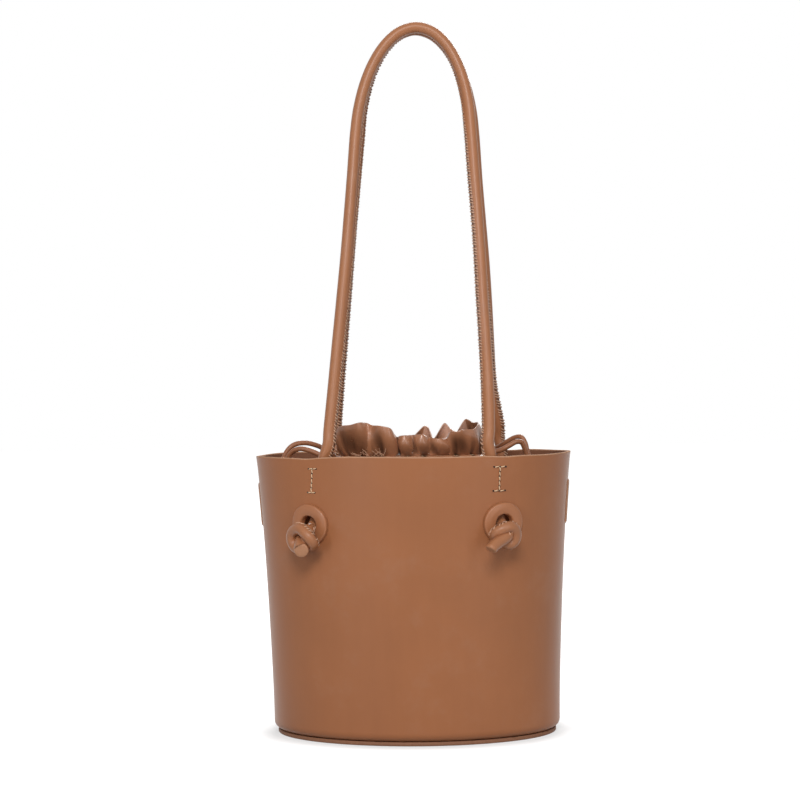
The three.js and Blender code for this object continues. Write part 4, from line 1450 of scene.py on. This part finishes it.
    def seam_side(self, line: Array) -> tuple[Array, Array]:
        """Where the seam runs round the cord.

        The seam's direction is carried from the top down both legs without twist, and then
        turned by the angles of seam_turns.

        Args:
            line: the cord's middle line.

        Returns:
            The directions out to the seam and across it.
        """
        along, at = tangents(line), arc(line)
        apex = line[:, 2].argmax()
        inward = unit(np.cross(along[apex], np.cross(along[apex], UP)))
        left = carried(-along[:apex + 1][::-1], inward)[::-1]
        side = np.r_[left[:-1], carried(along[apex:], inward)]
        across = np.cross(side, along)
        reach = (at - at[apex]) / (at[-1] / 2)
        left_turn, right_turn = (np.interp(np.abs(reach), SEAM_STATIONS, turns)
                                 for turns in self.seam_turns)
        turn = np.where(reach < 0, left_turn, right_turn) * -np.sign(across[apex, 1])
        side = unit(side * np.cos(turn)[:, None] + across * np.sin(turn)[:, None])
        return side, np.cross(side, along)

    def build(self) -> None:
        """Builds the cord and its whip stitches.

        The section is a circle with a ridge of height h / (1 + (x / w)^6) where the seam runs,
        and the ridge sinks to a trace in the knots.
        """
        line, first, last = self.line()
        side, across = self.seam_side(line)
        at = arc(line)
        free = np.minimum(smoothstep(at, first - 12 * MM, first),
                          1 - smoothstep(at, last, last + 12 * MM))
        inside = np.minimum(smoothstep(at, first + 4 * MM, first + 16 * MM),
                            1 - smoothstep(at, last - 16 * MM, last - 4 * MM))
        radius = self.knot_radius + (self.radius - self.knot_radius) * free
        height = self.seam_height * (0.14 + 0.86 * inside)
        swell = self.cut_swell if self.depth is Depth.FRONT else 0.0
        radius = radius + swell * (1 - smoothstep(at, 1 * MM, 7 * MM))
        near = 0.45
        angle = np.r_[np.linspace(-near, near, 15), np.linspace(near, 2 * np.pi - near, 28)[1:-1]]
        ridge = 1.0 / (1.0 + np.abs(np.sin(angle) * self.radius / self.seam_half) ** 6)
        ridge = ridge * (np.cos(angle) > 0)
        size = radius[:, None] + height[:, None] * ridge
        section = np.stack([size * np.sin(angle), size * np.cos(angle)], axis=-1)
        sewn = (at > self.bare) & (at < at[-1] - self.bare)
        # Painted shade: the sewn stretch of the seam's ridge is darkened, most at its crest.
        shape = tube(line, section, side, dome=0.16, cut=0.5, dark=sewn[:, None] * 0.8 * ridge)
        cord = piece(f"{self.depth.word}_handle_cord", shape, CORD_LEATHER.material(), crease=55)
        nodes = [f"{corner.name}_{part}" for corner in self.corners()
                 for part in ("bend", "knotted_end")]
        stitches = self.stitches(line, side, across, height, radius)
        for made, gone in ((cord, [f"{self.depth.word}_handle", *nodes]), (stitches, [])):
            y = float(self.root()[1])
            f"{self.depth.word}_handle"
            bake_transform(made)
            dress(made, "cord_leather", *gone)

    def stitches(self, line: Array, side: Array, across: Array, height: Array,
                 radius: Array) -> Piece:
        """Whip stitches: slanting turns of thick thread over the seam's ridge.

        One turn's middle line goes x = -w cos(pi t), y = h sin(pi t)^0.8, z = slant (t - 1/2).

        Args:
            line: the cord's middle line.
            side: the direction out to the seam at each point.
            across: the direction across the seam.
            height: the ridge's height.
            radius: the cord's radius.

        Returns:
            The stitches as one piece.
        """
        t, at = np.linspace(0, 1, 9), arc(line)
        width, tall, slant = self.seam_half + 0.85 * MM, 0.8 * MM, 2.5 * MM
        turn = np.stack([-width * np.cos(np.pi * t), tall * np.sin(np.pi * t) ** 0.8,
                         slant * (t - 0.5)], axis=1)
        shape = round_tube(turn, 0.46 * MM * (0.7 + 0.3 * np.sin(np.pi * t)), 6, dome=0.2)
        count = int((at[-1] - 2 * self.bare) / self.pitch)
        spots = np.linspace(self.bare, at[-1] - self.bare, count)
        pick = np.searchsorted(at, spots).clip(0, len(at) - 1)
        loose = np.random.default_rng(11).normal(0, 0.05 * MM, count)
        lift = radius[pick] + height[pick] * 1.1 - 0.95 * MM + loose
        centres = line[pick] + side[pick] * lift[:, None]
        shapes = repeated(shape, centres, across[pick], side[pick], tangents(line)[pick])
        return piece(f"{self.depth.word}_handle_stitches", shapes, WHIP_THREAD.material())


# The pouch.


# The neck's half width and half depth, and the height of the casing's lower edge.
NECK, NECK_HEIGHT = (50 * MM, 25 * MM), 184 * MM

# The gathered edge's top: degrees at its foot, then the place in millimetres. The
# degrees run from the left end over the front to the right end and back over the rear.
EDGE_KEYS = np.array([
    (186, -51, -3, 206), (197, -55, -11, 212.5), (209, -50.5, -21, 216.8), (219, -42.5, -29, 218),
    (228, -34, -31.5, 220.4), (233, -30, -26, 219.2), (238, -26.5, -27, 217.6),
    (247, -19.5, -33, 218), (255, -12, -31.5, 214.5), (258.5, -10.3, -25, 210.5),
    (261, -9, -21.5, 208.8), (264, -6.5, -26.5, 210), (268, -3, -30, 210.8), (272, 1.7, -25, 210.6),
    (276.5, 5.7, -28, 210.4), (281, 9.7, -30, 210.2), (285.5, 13.8, -25, 209),
    (290, 17.5, -28.5, 208.6), (296, 22.3, -29.3, 207.6), (300, 25.6, -24.5, 206.8),
    (302.5, 26.3, -20.5, 208.5), (306, 28.6, -26, 212.2), (314, 34.5, -28.7, 213.2),
    (323, 40.5, -26.3, 213.6), (332, 45, -21.5, 214.6), (341, 47.6, -14, 216.2),
    (352, 47.4, -5.5, 218.3), (364, 46.3, 3, 217.8), (376, 42, 9, 218.6), (388, 37, 11.5, 219.7),
    (399, 32.5, 13, 213.5), (408, 30.5, 17.5, 209), (414, 29, 24, 211.6), (420, 24.8, 27.3, 214.2),
    (425, 21.3, 26.5, 217), (430, 17.3, 22.5, 211), (433, 14.6, 19.5, 207),
    (437, 11.8, 23.5, 208.2), (440, 9.6, 27.5, 214), (443, 7, 28.5, 215.6), (448, 2.6, 26, 211.5),
    (453, -1.5, 21, 207.5), (458, -6, 27, 207), (464, -12, 23.5, 206.5), (471, -18, 28.5, 206.5),
    (479, -24, 22.5, 206), (488, -31, 27, 206), (498, -37, 20.5, 205.5), (511, -44.5, 19, 205),
    (526, -49, 8, 205)], float)


@dataclass
class Pouch:
    """The fabric pouch: its bag, the casing for the drawstrings and the gathered edge above.

    Args:
        half: the bag's half width and half depth.
        neck: the neck's half width and half depth.
        floor: the height of its underside.
        shoulder: the height where it begins to narrow.
        neck_height: the height of the casing's lower edge.
        casing_top: the height of its sewn top.
        casing_reach: how far the casing stands out from the neck.
        cloth: the cloth's thickness.
        columns: points round the bag.
    """

    half: tuple[float, float] = (89 * MM, 55 * MM)
    neck: tuple[float, float] = NECK
    floor: float = 9.6 * MM
    shoulder: float = 155 * MM
    neck_height: float = NECK_HEIGHT
    casing_top: float = 196 * MM
    casing_reach: float = 5.7 * MM
    cloth: float = 0.7 * MM
    columns: int = 480

    def gathers(self, angle: Array) -> Array:
        """Uneven gathers round the neck, from -1 to 1: two waves whose pace itself wanders."""
        first = np.sin(23 * angle + 1.6 * np.sin(2 * angle + 0.6) + 0.9 * np.sin(5 * angle))
        second = np.sin(37 * angle + 1.1 * np.sin(3 * angle + 1.9))
        return 0.62 * first + 0.38 * second

    def bag(self) -> Piece:
        """The bag: a lofted oval that sags over its foot and is drawn in to the neck.

        The half sizes run through stations from floor to neck, the gathers grow up the shoulder,
        and slow folds bow the sides by a few millimetres.
        """
        z_at = np.array([self.floor, self.floor + 4 * MM, self.floor + 14 * MM, 92 * MM,
                         self.shoulder, 167 * MM, 177 * MM, self.neck_height])
        wide = np.array([0.87, 0.945, 0.985, 1.0, 0.965, 0.88, 0.73, 0.575]) * self.half[0]
        deep = np.array([0.84, 0.93, 0.98, 1.0, 0.95, 0.83, 0.645, 0.47]) * self.half[1]
        wide, deep, z = smooth_path(np.stack([wide, deep, z_at], axis=1), 2.2 * MM).T
        lid, rows = np.linspace(0, 1, 9)[:-1], 6
        wide = np.r_[lid * wide[0], wide, np.full(rows, self.neck[0])]
        deep = np.r_[lid * deep[0], deep, np.full(rows, self.neck[1])]
        z = np.r_[np.full(len(lid), self.floor), z,
                  np.linspace(self.neck_height + 2 * MM, self.casing_top, rows)]
        angle, z = around(self.columns)[None, :], z[:, None]
        near = smoothstep(z, 120 * MM, self.neck_height)
        tied = smoothstep(z, 176 * MM, 186 * MM)
        pleats = self.gathers(angle) * (0.25 + 2.3 * near * (1 - tied)) * MM
        upright = smoothstep(z, self.floor + 2 * MM, self.floor + 30 * MM) * (1 - near)
        folds = (1.5 * np.sin(5 * angle + 0.8 + 6 * z)
                 + 1.1 * np.sin(8 * angle + 2.2 - 9 * z)) * upright * MM
        sag = (-1.6 * MM * np.exp(-(((z - 148 * MM) / (13 * MM)) ** 2))
               * (1 + 0.5 * np.sin(3 * angle + 1)))
        out = np.where(z > self.floor + 0.1 * MM, pleats - 0.7 * MM + folds + sag, 0.0)
        drop = (1.2 * MM * near * np.sin(6 * angle + 0.4)
                * (1 - smoothstep(z, 170 * MM, 184 * MM)))
        points = Oval().point(angle, z + drop, out, (wide[:, None], deep[:, None]))
        # Painted shade in the hollows of the gathers near the neck.
        dark = smoothstep(-self.gathers(angle), 0.1, 0.9) * near * 0.6
        made = piece("pouch_bag_cloth", grid(points, ring_columns=True, dark=dark),
                     POUCH_SATIN.material())
        self.thicken(made)
        return ride(made, "pouch_satin", "pouch_bag")

    def thicken(self, made: Piece) -> None:
        """Gives a sheet the cloth's thickness inwards."""
        step = made.modifiers.new("cloth", "SOLIDIFY")
        step.thickness, step.offset = self.cloth, -1.0
        keep_modified(made)

    def casing(self) -> Piece:
        """The casing: a puckered band round the neck that the drawstrings swell outwards.

        The section is a flat oval, from the neck out over both strings and back; the pucker
        is strongest at its sewn top and at its open lower edge.
        """
        low, top, reach = self.neck_height, self.casing_top, self.casing_reach
        turn, r = quarter(), 3.0 * MM
        out = np.r_[[0.3 * MM, 1.6 * MM], reach - r + r * np.sin(turn), np.full(5, reach),
                    [reach - 0.3 * MM, reach - 1.1 * MM], np.full(3, reach - 1.2 * MM),
                    [reach - 1.6 * MM, 0.4 * MM]]
        z = np.r_[[top, top], top - r + r * np.cos(turn),
                  np.linspace(top - 4.2 * MM, low + 0.8 * MM, 5), [low, low + 0.1 * MM],
                  [low + 1.2 * MM, low + 5 * MM, top - 3.0 * MM], [top - 1.2 * MM, top - 1.2 * MM]]
        angle, out, z = around(640)[None, :], out[:, None], z[:, None]
        swell = smoothstep(out, 1 * MM, 4 * MM)
        high = smoothstep(z, top - 5 * MM, top)
        pucker = self.gathers(angle) * (0.32 + 0.55 * high) * MM
        rib = 0.35 * MM * np.sin(2 * np.pi * (z - low) / (4.6 * MM) + 0.6) * (1 - high)
        points = Oval().point(angle, z + 0.35 * MM * self.gathers(angle + 0.03) * swell,
                              out + (pucker - 0.5 * MM + rib) * swell, self.neck)
        # Painted shade in the hollows of the casing's gathers.
        dark = smoothstep(-self.gathers(angle), 0.0, 0.9) * 0.7
        made = piece("pouch_casing_cloth", ring(points, dark=dark), POUCH_SATIN.material())
        return ride(made, "pouch_satin", "pouch_casing")

    def casing_stitches(self) -> None:
        """The row of small stitches along the casing's sewn top."""
        count, reach = 120, 2.0 * MM
        angle = (np.arange(count) + 0.5) * 2 * np.pi / count
        z = np.full(count, self.casing_top - 0.5 * MM)
        centre = Oval().point(angle, z + 0.25 * MM, reach, self.neck)
        ahead, behind = (Oval().point(angle + turn, z, reach, self.neck) for turn in (0.01, -0.01))
        stitch = thread(1.7 * MM, 0.42 * MM, 0.22 * MM)
        sew("pouch_casing_stitches", stitch, centre, np.tile(UP, (count, 1)),
            unit(ahead - behind), SEWING_THREAD, "pouch_satin")

    def edge_top(self, grade: Array) -> Array:
        """The gathered edge's top at these degrees: cubics between keys, sloped by neighbours."""
        turn = [360, 0, 0, 0]
        loop = np.r_[EDGE_KEYS[-3:] - turn, EDGE_KEYS, EDGE_KEYS[:3] + turn]
        knots, places = loop[:, 0], loop[:, 1:]
        slopes = np.gradient(places, knots, axis=0)
        k = np.searchsorted(knots, grade, side="right") - 1
        width = (knots[k + 1] - knots[k])[:, None]
        t = (grade[:, None] - knots[k][:, None]) / width
        return ((2 * t**3 - 3 * t**2 + 1) * places[k] + (t**3 - 2 * t**2 + t) * slopes[k] * width
                + (3 * t**2 - 2 * t**3) * places[k + 1]
                + (t**3 - t**2) * slopes[k + 1] * width) * MM

    def ruffle(self) -> Piece:
        """The gathered edge: the cloth runs from small gathers at the neck out to its given top.

        At share s up the cloth a point is foot + (top - foot) * s^0.8 in plan, with small gathers
        at the foot and soft creases of up to 1.1 mm that fan out from the seam. The value
        "dark" is painted shade that grows in the creases, low down and where the edge is
        sunk inwards; the value "pale" is painted light, growing towards the top of the rear peaks.
        """
        grade = np.linspace(186, 546, 900, endpoint=False)
        top = self.edge_top(grade)
        angle = np.radians(grade)[None, :]
        share = np.linspace(0, 1, 36)[:, None]
        low = self.casing_top + 0.3 * MM
        gathers = self.gathers(angle)
        foot = Oval().point(angle, np.full_like(angle, low), 0.8 * MM * gathers, self.neck)[0]
        along = unit(np.roll(top, -1, axis=0) - np.roll(top, 1, axis=0))
        out = unit(np.cross(along, UP))
        crease = (np.sin(19 * angle + 2.2 * np.sin(4 * angle) + 1.5 * share)
                  * np.sin(np.pi * share**0.7))
        belly = (1.7 * np.sin(np.pi * share) + 1.1 * crease - 0.5 * share**4) * MM
        points = (foot[None] + (top - foot)[None] * share[..., None] ** 0.8
                  + out[None] * belly[..., None])
        curl = 0.5 * MM * np.sin(17 * angle + 0.5) * share**3
        points[..., 2] = low + (top[None, :, 2] - low) * share + curl
        reach = np.linalg.norm(top[:, :2] / np.array(self.neck), axis=1)[None, :]
        # Painted shade in creases, low down and on sunk lobes; painted light on the rear peaks.
        sunk = smoothstep(-reach, -1.12, -0.95)
        dark = np.clip(0.7 * smoothstep(-gathers, 0.0, 0.9) * (1 - share) ** 1.4
                       + 0.75 * sunk * (1 - 0.6 * share) + 0.6 * smoothstep(-crease, 0.0, 1.0),
                       0, 1)
        pale = (smoothstep(np.sin(angle), 0.25, 0.6) * smoothstep(share, 0.45, 0.8)
                * (0.55 + 0.45 * np.sign(crease)))
        shape = grid(points, ring_columns=True, dark=dark * (1 - 0.6 * pale), pale=pale)
        made = piece("pouch_ruffle_cloth", shape, POUCH_SATIN.material())
        self.thicken(made)
        return ride(made, "pouch_satin", "pouch_ruffle")

    def frayed_threads(self) -> None:
        """Pale loose fibres that stand out of the seam at the front left of the gathered edge."""
        rng = np.random.default_rng(5)
        count = 15
        angle = np.radians(rng.uniform(225, 250, count))
        base = Oval().point(angle, np.full(count, self.casing_top + 0.2 * MM),
                            rng.uniform(1.5, 4.5, count) * MM, self.neck)
        lean = np.stack([rng.normal(0, 0.75, count), rng.uniform(-0.9, -0.1, count),
                         rng.uniform(0.25, 1.0, count)], axis=1)
        travel = unit(lean)
        out = unit(np.cross(travel, rng.normal(size=(count, 3))))
        t = np.linspace(0, 1, 7)
        line = np.stack([0 * t, 1.1 * MM * np.sin(2.2 * t), 6.4 * MM * t], axis=1)
        shape = round_tube(line, 0.42 * MM * (1 - 0.45 * t), 6)
        sew("pouch_frayed_threads", shape, base, out, travel, LOOSE_THREAD, "pouch_satin")

    def build(self) -> None:
        """Builds every piece of the pouch."""
        self.bag()
        self.casing()
        self.casing_stitches()
        self.ruffle()
        self.frayed_threads()


# The drawstrings.


# Listed points of the free strands, in millimetres.
ROUTES = {
    (Side.LEFT, Depth.FRONT): [
        (-57.5, -15.9, 192.6), (-63.5, -16.2, 196.6), (-71, -15.6, 200), (-78.5, -14.2, 201.6),
        (-84.6, -12.4, 199.6), (-88.6, -10.6, 194), (-91, -9.2, 186), (-92.8, -8, 176),
        (-94.3, -7.2, 165), (-95.3, -6.6, 153), (-95.8, -6, 141)],
    (Side.LEFT, Depth.REAR): [
        (-57.2, 14.4, 193.6), (-62.6, 11.4, 198.8), (-70, 7.6, 203.2), (-78.4, 3.6, 205.2),
        (-86, 0, 203.6), (-91, -2, 198), (-93.8, -2.6, 189), (-95.4, -2.6, 178), (-96.4, -2.4, 166),
        (-97, -2.2, 153), (-97.2, -1.8, 141)],
    (Side.RIGHT, Depth.FRONT): [
        (57.5, -15.9, 197), (63.5, -16.2, 199), (69.5, -15.6, 202), (74.5, -14.6, 204.6),
        (78, -13, 204.2), (80.2, -11.6, 199.8), (82, -10.6, 194), (85, -9.2, 185.6),
        (88.4, -8, 176), (91.4, -7.2, 165), (93.8, -6.6, 153), (95.4, -6, 141)],
    (Side.RIGHT, Depth.REAR): [
        (57.2, 14.4, 197.8), (62, 11.4, 200.8), (67.5, 7.6, 204.2), (73, 4, 207),
        (77.4, 0.8, 207.4), (80.2, -0.8, 203.4), (81.8, -1.8, 197), (84.8, -2.4, 188),
        (88.4, -2.6, 178), (91.6, -2.4, 166), (94.4, -2.2, 153), (96.4, -1.8, 141)]}


@dataclass
class DrawString:
    """One side's drawstring: the run in the casing, two free strands and the knot that ties them.

    Args:
        side: the side where it comes out.
        diameter: the cord's thickness.
        neck: the half width and half depth of the neck that it runs round.
        neck_height: the height of the casing's lower edge.
        gap: the air round it in the casing.
        knot_top: the height where the strands enter their knot.
        knot_place: how far out and how far to the rear the knot hangs.
    """

    side: Side
    diameter: float = 3.6 * MM
    neck: tuple[float, float] = NECK
    neck_height: float = NECK_HEIGHT
    gap: float = 0.3 * MM
    knot_top: float = 132 * MM
    knot_place: tuple[float, float] = (96.7 * MM, -4 * MM)

    def run(self) -> Array:
        """The middle line inside the casing: once round the neck and out at its own side."""
        radius, gap = self.diameter / 2, self.gap
        stack = 4.6 * MM if self.side is Side.RIGHT else 0.0
        z = self.neck_height + radius + gap + stack
        inner = 2 * gap + radius
        reach = inner + radius + gap + 1.2 * MM
        ends = np.array([(22, reach + radius), (30, inner + radius), (40, inner + gap)])
        degrees = np.r_[ends[:, 0], np.linspace(50, 310, 27), 360 - ends[::-1, 0]]
        out = np.r_[ends[:, 1], np.full(27, inner), ends[::-1, 1]]
        turn = 180.0 if self.side is Side.LEFT else 0.0
        return smooth_path(Oval().point(np.radians(degrees + turn), np.full(len(out), z), out,
                                        self.neck), 1.0 * MM)

    def route(self, depth: Depth) -> Array:
        """The free strand's points, from the casing over the arch down to the knot."""
        run = self.run()
        ahead = np.sign(run[0, 1]) == depth.value
        end, heading = (run[0], run[0] - run[1]) if ahead else (run[-1], run[-1] - run[-2])
        heading = unit(heading)
        x, y = self.knot_place
        foot = np.array([self.side.value * x, y + depth.value * 2.1 * MM, self.knot_top])
        return np.r_[[end + heading * self.gap, end + heading * 1.8 * MM],
                     np.array(ROUTES[self.side, depth]) * MM,
                     [foot + UP * 2.1 * MM, foot + UP * 0.3 * MM]]

    def strands(self, knot: Piece) -> None:
        """The two free strands, each a cord.

        Args:
            knot: the knot that ties them.
        """
        for depth in Depth:
            line = smooth_path(self.route(depth), 0.8 * MM)
            path = np.r_[line, line[-1:] - UP * np.array([[1.2], [2.4]]) * MM]
            path = np.r_[[path[0] - unit(path[1] - path[0]) * 0.6 * MM], path]
            name = f"{self.side.word}_{depth.word}_strand"
            made = piece(f"{name}_cord", round_tube(path, self.diameter / 2, 18, dome=0.1),
                         STRING_LEATHER.material())
            f"{self.side.word}_strings"
            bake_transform(made)
            dress(made, "string_leather", name)

    def end_knot(self) -> Piece:
        """The knot that ties the two strands: a round overhand turn with two short cut ends.

        The turn is a trefoil, x = sin t + 2 sin 2t, y = cos t - 2 cos 2t, z = -sin 3t, drawn tight
        and set on its side; the ends hang below it.
        """
        x, y = self.knot_place
        centre = np.array([self.side.value * x, y, self.knot_top - 5.0 * MM])
        t = np.linspace(0.25, 2 * np.pi - 0.25, 160)
        turn = np.stack([(np.sin(t) + 2 * np.sin(2 * t)) * 1.18,
                         (np.cos(t) - 2 * np.cos(2 * t)) * 1.18, -np.sin(3 * t) * 2.1],
                        axis=1) * MM
        parts = [round_tube(centre + turn * [1.0, 1.0, 1.25], 1.62 * MM, 14, cut=1.0)]
        for sign in (-1, 1):
            tail = [(0, sign * 1.2, 1.0), (0, sign * 1.6, -2.5), (sign * 0.5, sign * 2.0, -5.6)]
            neck = [(0, sign * 1.9, 5.2), (0, sign * 1.7, 3.0), (0, sign * 1.3, 0.0)]
            for points, radius in ((tail, 1.7 * MM), (neck, 1.78 * MM)):
                line = smooth_path(centre + np.array(points) * MM, 0.5 * MM)
                parts.append(round_tube(line, radius, 14, dome=0.1, cut=1.0))
        made = piece(f"{self.side.word}_end_knot_cord", joined(parts), STRING_LEATHER.material())
        return ride(made, "string_leather", f"{self.side.word}_end_knot",
                    body=f"{self.side.word}_strings")

    def build(self) -> None:
        """Builds the run, the knot and the strands."""
        run = piece(f"{self.side.word}_drawstring_cord",
                    round_tube(self.run(), self.diameter / 2, 16), STRING_LEATHER.material())
        ride(run, "string_leather", f"{self.side.word}_drawstring")
        self.strands(self.end_knot())


# The studio.


@dataclass(frozen=True)
class Lamp:
    """A soft rectangular lamp that faces the bag.

    Args:
        name: the lamp's name.
        azimuth: degrees from the front, towards the right.
        height: its height.
        away: its distance from the axis.
        size: its width and height.
        watts: its power.
        aim: the height that it faces.
    """

    name: str
    azimuth: float
    height: float
    away: float
    size: tuple[float, float]
    watts: float
    aim: float = 0.2

    def build(self) -> None:
        """Sets the lamp up."""
        data = bpy.data.lights.new(self.name, "AREA")
        data.shape, data.energy = "RECTANGLE", self.watts
        data.size, data.size_y = self.size
        made = bpy.data.objects.new(self.name, data)
        bpy.context.collection.objects.link(made)
        a = math.radians(self.azimuth)
        place = Vector((self.away * math.sin(a), -self.away * math.cos(a), self.height))
        turn = (Vector((0, 0, self.aim)) - place).to_track_quat("-Z", "Y")
        made.matrix_world = Matrix.Translation(place) @ turn.to_matrix().to_4x4()


LAMPS = (Lamp("left_box", -29, 0.75, 2.2, (0.3, 1.5), 10.5),
         Lamp("right_box", 38, 0.75, 2.2, (0.3, 1.5), 8.5),
         Lamp("front_top", 4, 1.7, 2.4, (1.0, 0.8), 43.0),
         Lamp("rear_top", 172, 1.5, 2.1, (1.5, 0.9), 38.0))


@dataclass
class Studio:
    """The pale floor and backdrop, the soft lights and the camera.

    Args:
        distance: from the bag's axis to the camera.
        azimuth: degrees that the camera stands to the right of the front.
        eye: the camera's height.
        pixels: focal length in pixels of the picture.
        picture: the picture's width in pixels.
        axis_x: where the bag's axis stands in the picture.
        horizon: where the horizon lies in it.
        roll: how far the camera leans, in degrees.
        shadow_start, shadow_end: the distances from the axis between which the shadow fades.
        shadow_level: how bright the floor is in the shadow.
        light: how strong the light from all round is.
    """

    distance: float = 1.370
    azimuth: float = 5.0
    eye: float = 0.247
    pixels: float = 1921.0
    picture: float = 800.0
    axis_x: float = 411.5
    horizon: float = 383.0
    roll: float = 0.9
    shadow_start: float = 0.104
    shadow_end: float = 0.128
    shadow_level: float = 0.55
    light: float = 0.15

    def camera(self) -> None:
        """The camera: level, at the height where the horizon cuts the picture, rolled a little."""
        a, middle = math.radians(self.azimuth), self.picture / 2
        data = bpy.data.cameras.new("camera")
        data.sensor_width = 36.0
        data.lens = self.pixels / self.picture * data.sensor_width
        data.clip_start, data.clip_end = 0.05, 30.0
        data.shift_x = -(self.axis_x - middle) / self.picture
        data.shift_y = -(middle - self.horizon) / self.picture
        made = bpy.data.objects.new("camera", data)
        bpy.context.collection.objects.link(made)
        place = Vector((self.distance * math.sin(a), -self.distance * math.cos(a), self.eye))
        level = Matrix.Rotation(a, 4, "Z") @ Matrix.Rotation(math.pi / 2, 4, "X")
        roll = Matrix.Rotation(math.radians(-self.roll), 4, "Z")
        made.matrix_world = Matrix.Translation(place) @ level @ roll
        bpy.context.scene.camera = made

    def white_rays(self, t: Tree) -> Socket:
        """1 for a ray from the camera, a mirror or clear glass, and 0 for the rest."""
        rays = t.add("ShaderNodeLightPath").outputs
        seen = t.math("MAXIMUM", rays["Is Camera Ray"], rays["Is Glossy Ray"])
        return t.math("MAXIMUM", seen, rays["Is Transmission Ray"])

    def floor(self) -> None:
        """A wide pale floor, lit to white for the camera, with a soft shadow close to the bag.

        The shadow's level is a ramp of the distance from the axis, with the depth counted 1.5
        times.
        """
        half, low = 6.0, -0.2 * MM
        corners = np.array([[(x * half, y * half, low) for x in (-1, 1)] for y in (-1, 1)])
        paper = bpy.data.materials.new("floor_paper")
        t = Tree(paper)
        matt = t.add("ShaderNodeBsdfDiffuse", {"Color": (0.42, 0.42, 0.42)})
        spot = t.add("ShaderNodeTexCoord").outputs["Object"]
        oval = t.add("ShaderNodeVectorMath", {0: spot, 1: (1.0, 1.5, 1.0)}, operation="MULTIPLY")
        away = t.add("ShaderNodeVectorMath", {0: oval.outputs["Vector"]}, operation="LENGTH")
        level = t.add("ShaderNodeMapRange", {
            "Value": away.outputs["Value"], "From Min": self.shadow_start,
            "From Max": self.shadow_end, "To Min": self.shadow_level, "To Max": 1.0}).outputs[0]
        white = t.math("MULTIPLY", self.white_rays(t), level)
        glow = t.add("ShaderNodeEmission", {"Color": (1.0, 1.0, 1.0), "Strength": white})
        both = t.add("ShaderNodeAddShader", {0: matt.outputs[0], 1: glow.outputs[0]})
        t.add("ShaderNodeOutputMaterial", {"Surface": both.outputs[0]})
        made = piece("floor", grid(corners), paper)
        if made.data.polygons[0].normal.z < 0:
            made.data.flip_normals()

    def world(self) -> None:
        """Even pale light from all round, white to the camera."""
        made = bpy.data.worlds.new("studio")
        t = Tree(made)
        level = t.math("MULTIPLY_ADD", self.white_rays(t), 1 - self.light, self.light)
        shade = t.add("ShaderNodeBackground", {"Color": (1.0, 1.0, 1.0), "Strength": level})
        t.add("ShaderNodeOutputWorld", {"Surface": shade.outputs[0]})
        bpy.context.scene.world = made

    def build(self) -> None:
        """Sets the camera, the lamps, the floor and the world."""
        self.camera()
        for lamp in LAMPS:
            lamp.build()
        self.floor()
        self.world()
        bpy.context.scene.view_settings.view_transform = "Standard"


HANDLES = (
    Handle(Depth.FRONT, lean=7.2 * MM, cap_half=40.8 * MM,
           seam_turns=((-1.3, -1.1, -0.5, -0.3, 0.1, 0.3, 0.5, 0.5),
                       (-1.3, -0.4, 0.6, 0.9, 0.8, 0.4, 0.5, 0.5)),
           bows=((-1.6, -1.6, -1.5, -1.5, -1.4, -0.9, -0.4), (2.4, 3.3, 3.1, 2.6, 2.4, 1.9, 1.2))),
    Handle(Depth.REAR, lean=5.8 * MM, cap_half=42.2 * MM,
           seam_turns=((-1.3, -1.0, -0.5, 0.0, 0.4, 0.6, 0.9, 0.9),
                       (-1.3, -1.0, 0.0, 1.0, 1.8, 2.2, 2.3, 2.2)),
           bows=((2.6, 3.0, 2.8, 2.6, 2.4, 2.0, 1.4), (0.4, -2.4, -1.6, -0.6, 0.0, 0.0, 0.0))))


def main() -> None:
    """Loads the frame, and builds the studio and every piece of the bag."""
    logging.basicConfig(level=logging.INFO, format="%(message)s", stream=sys.stdout)
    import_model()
    Studio().build()
    for part in (*map(DrawString, Side), *HANDLES, Bucket(), Pouch()):
        part.build()
    bpy.context.view_layer.update()


if __name__ == "__main__":
    main()
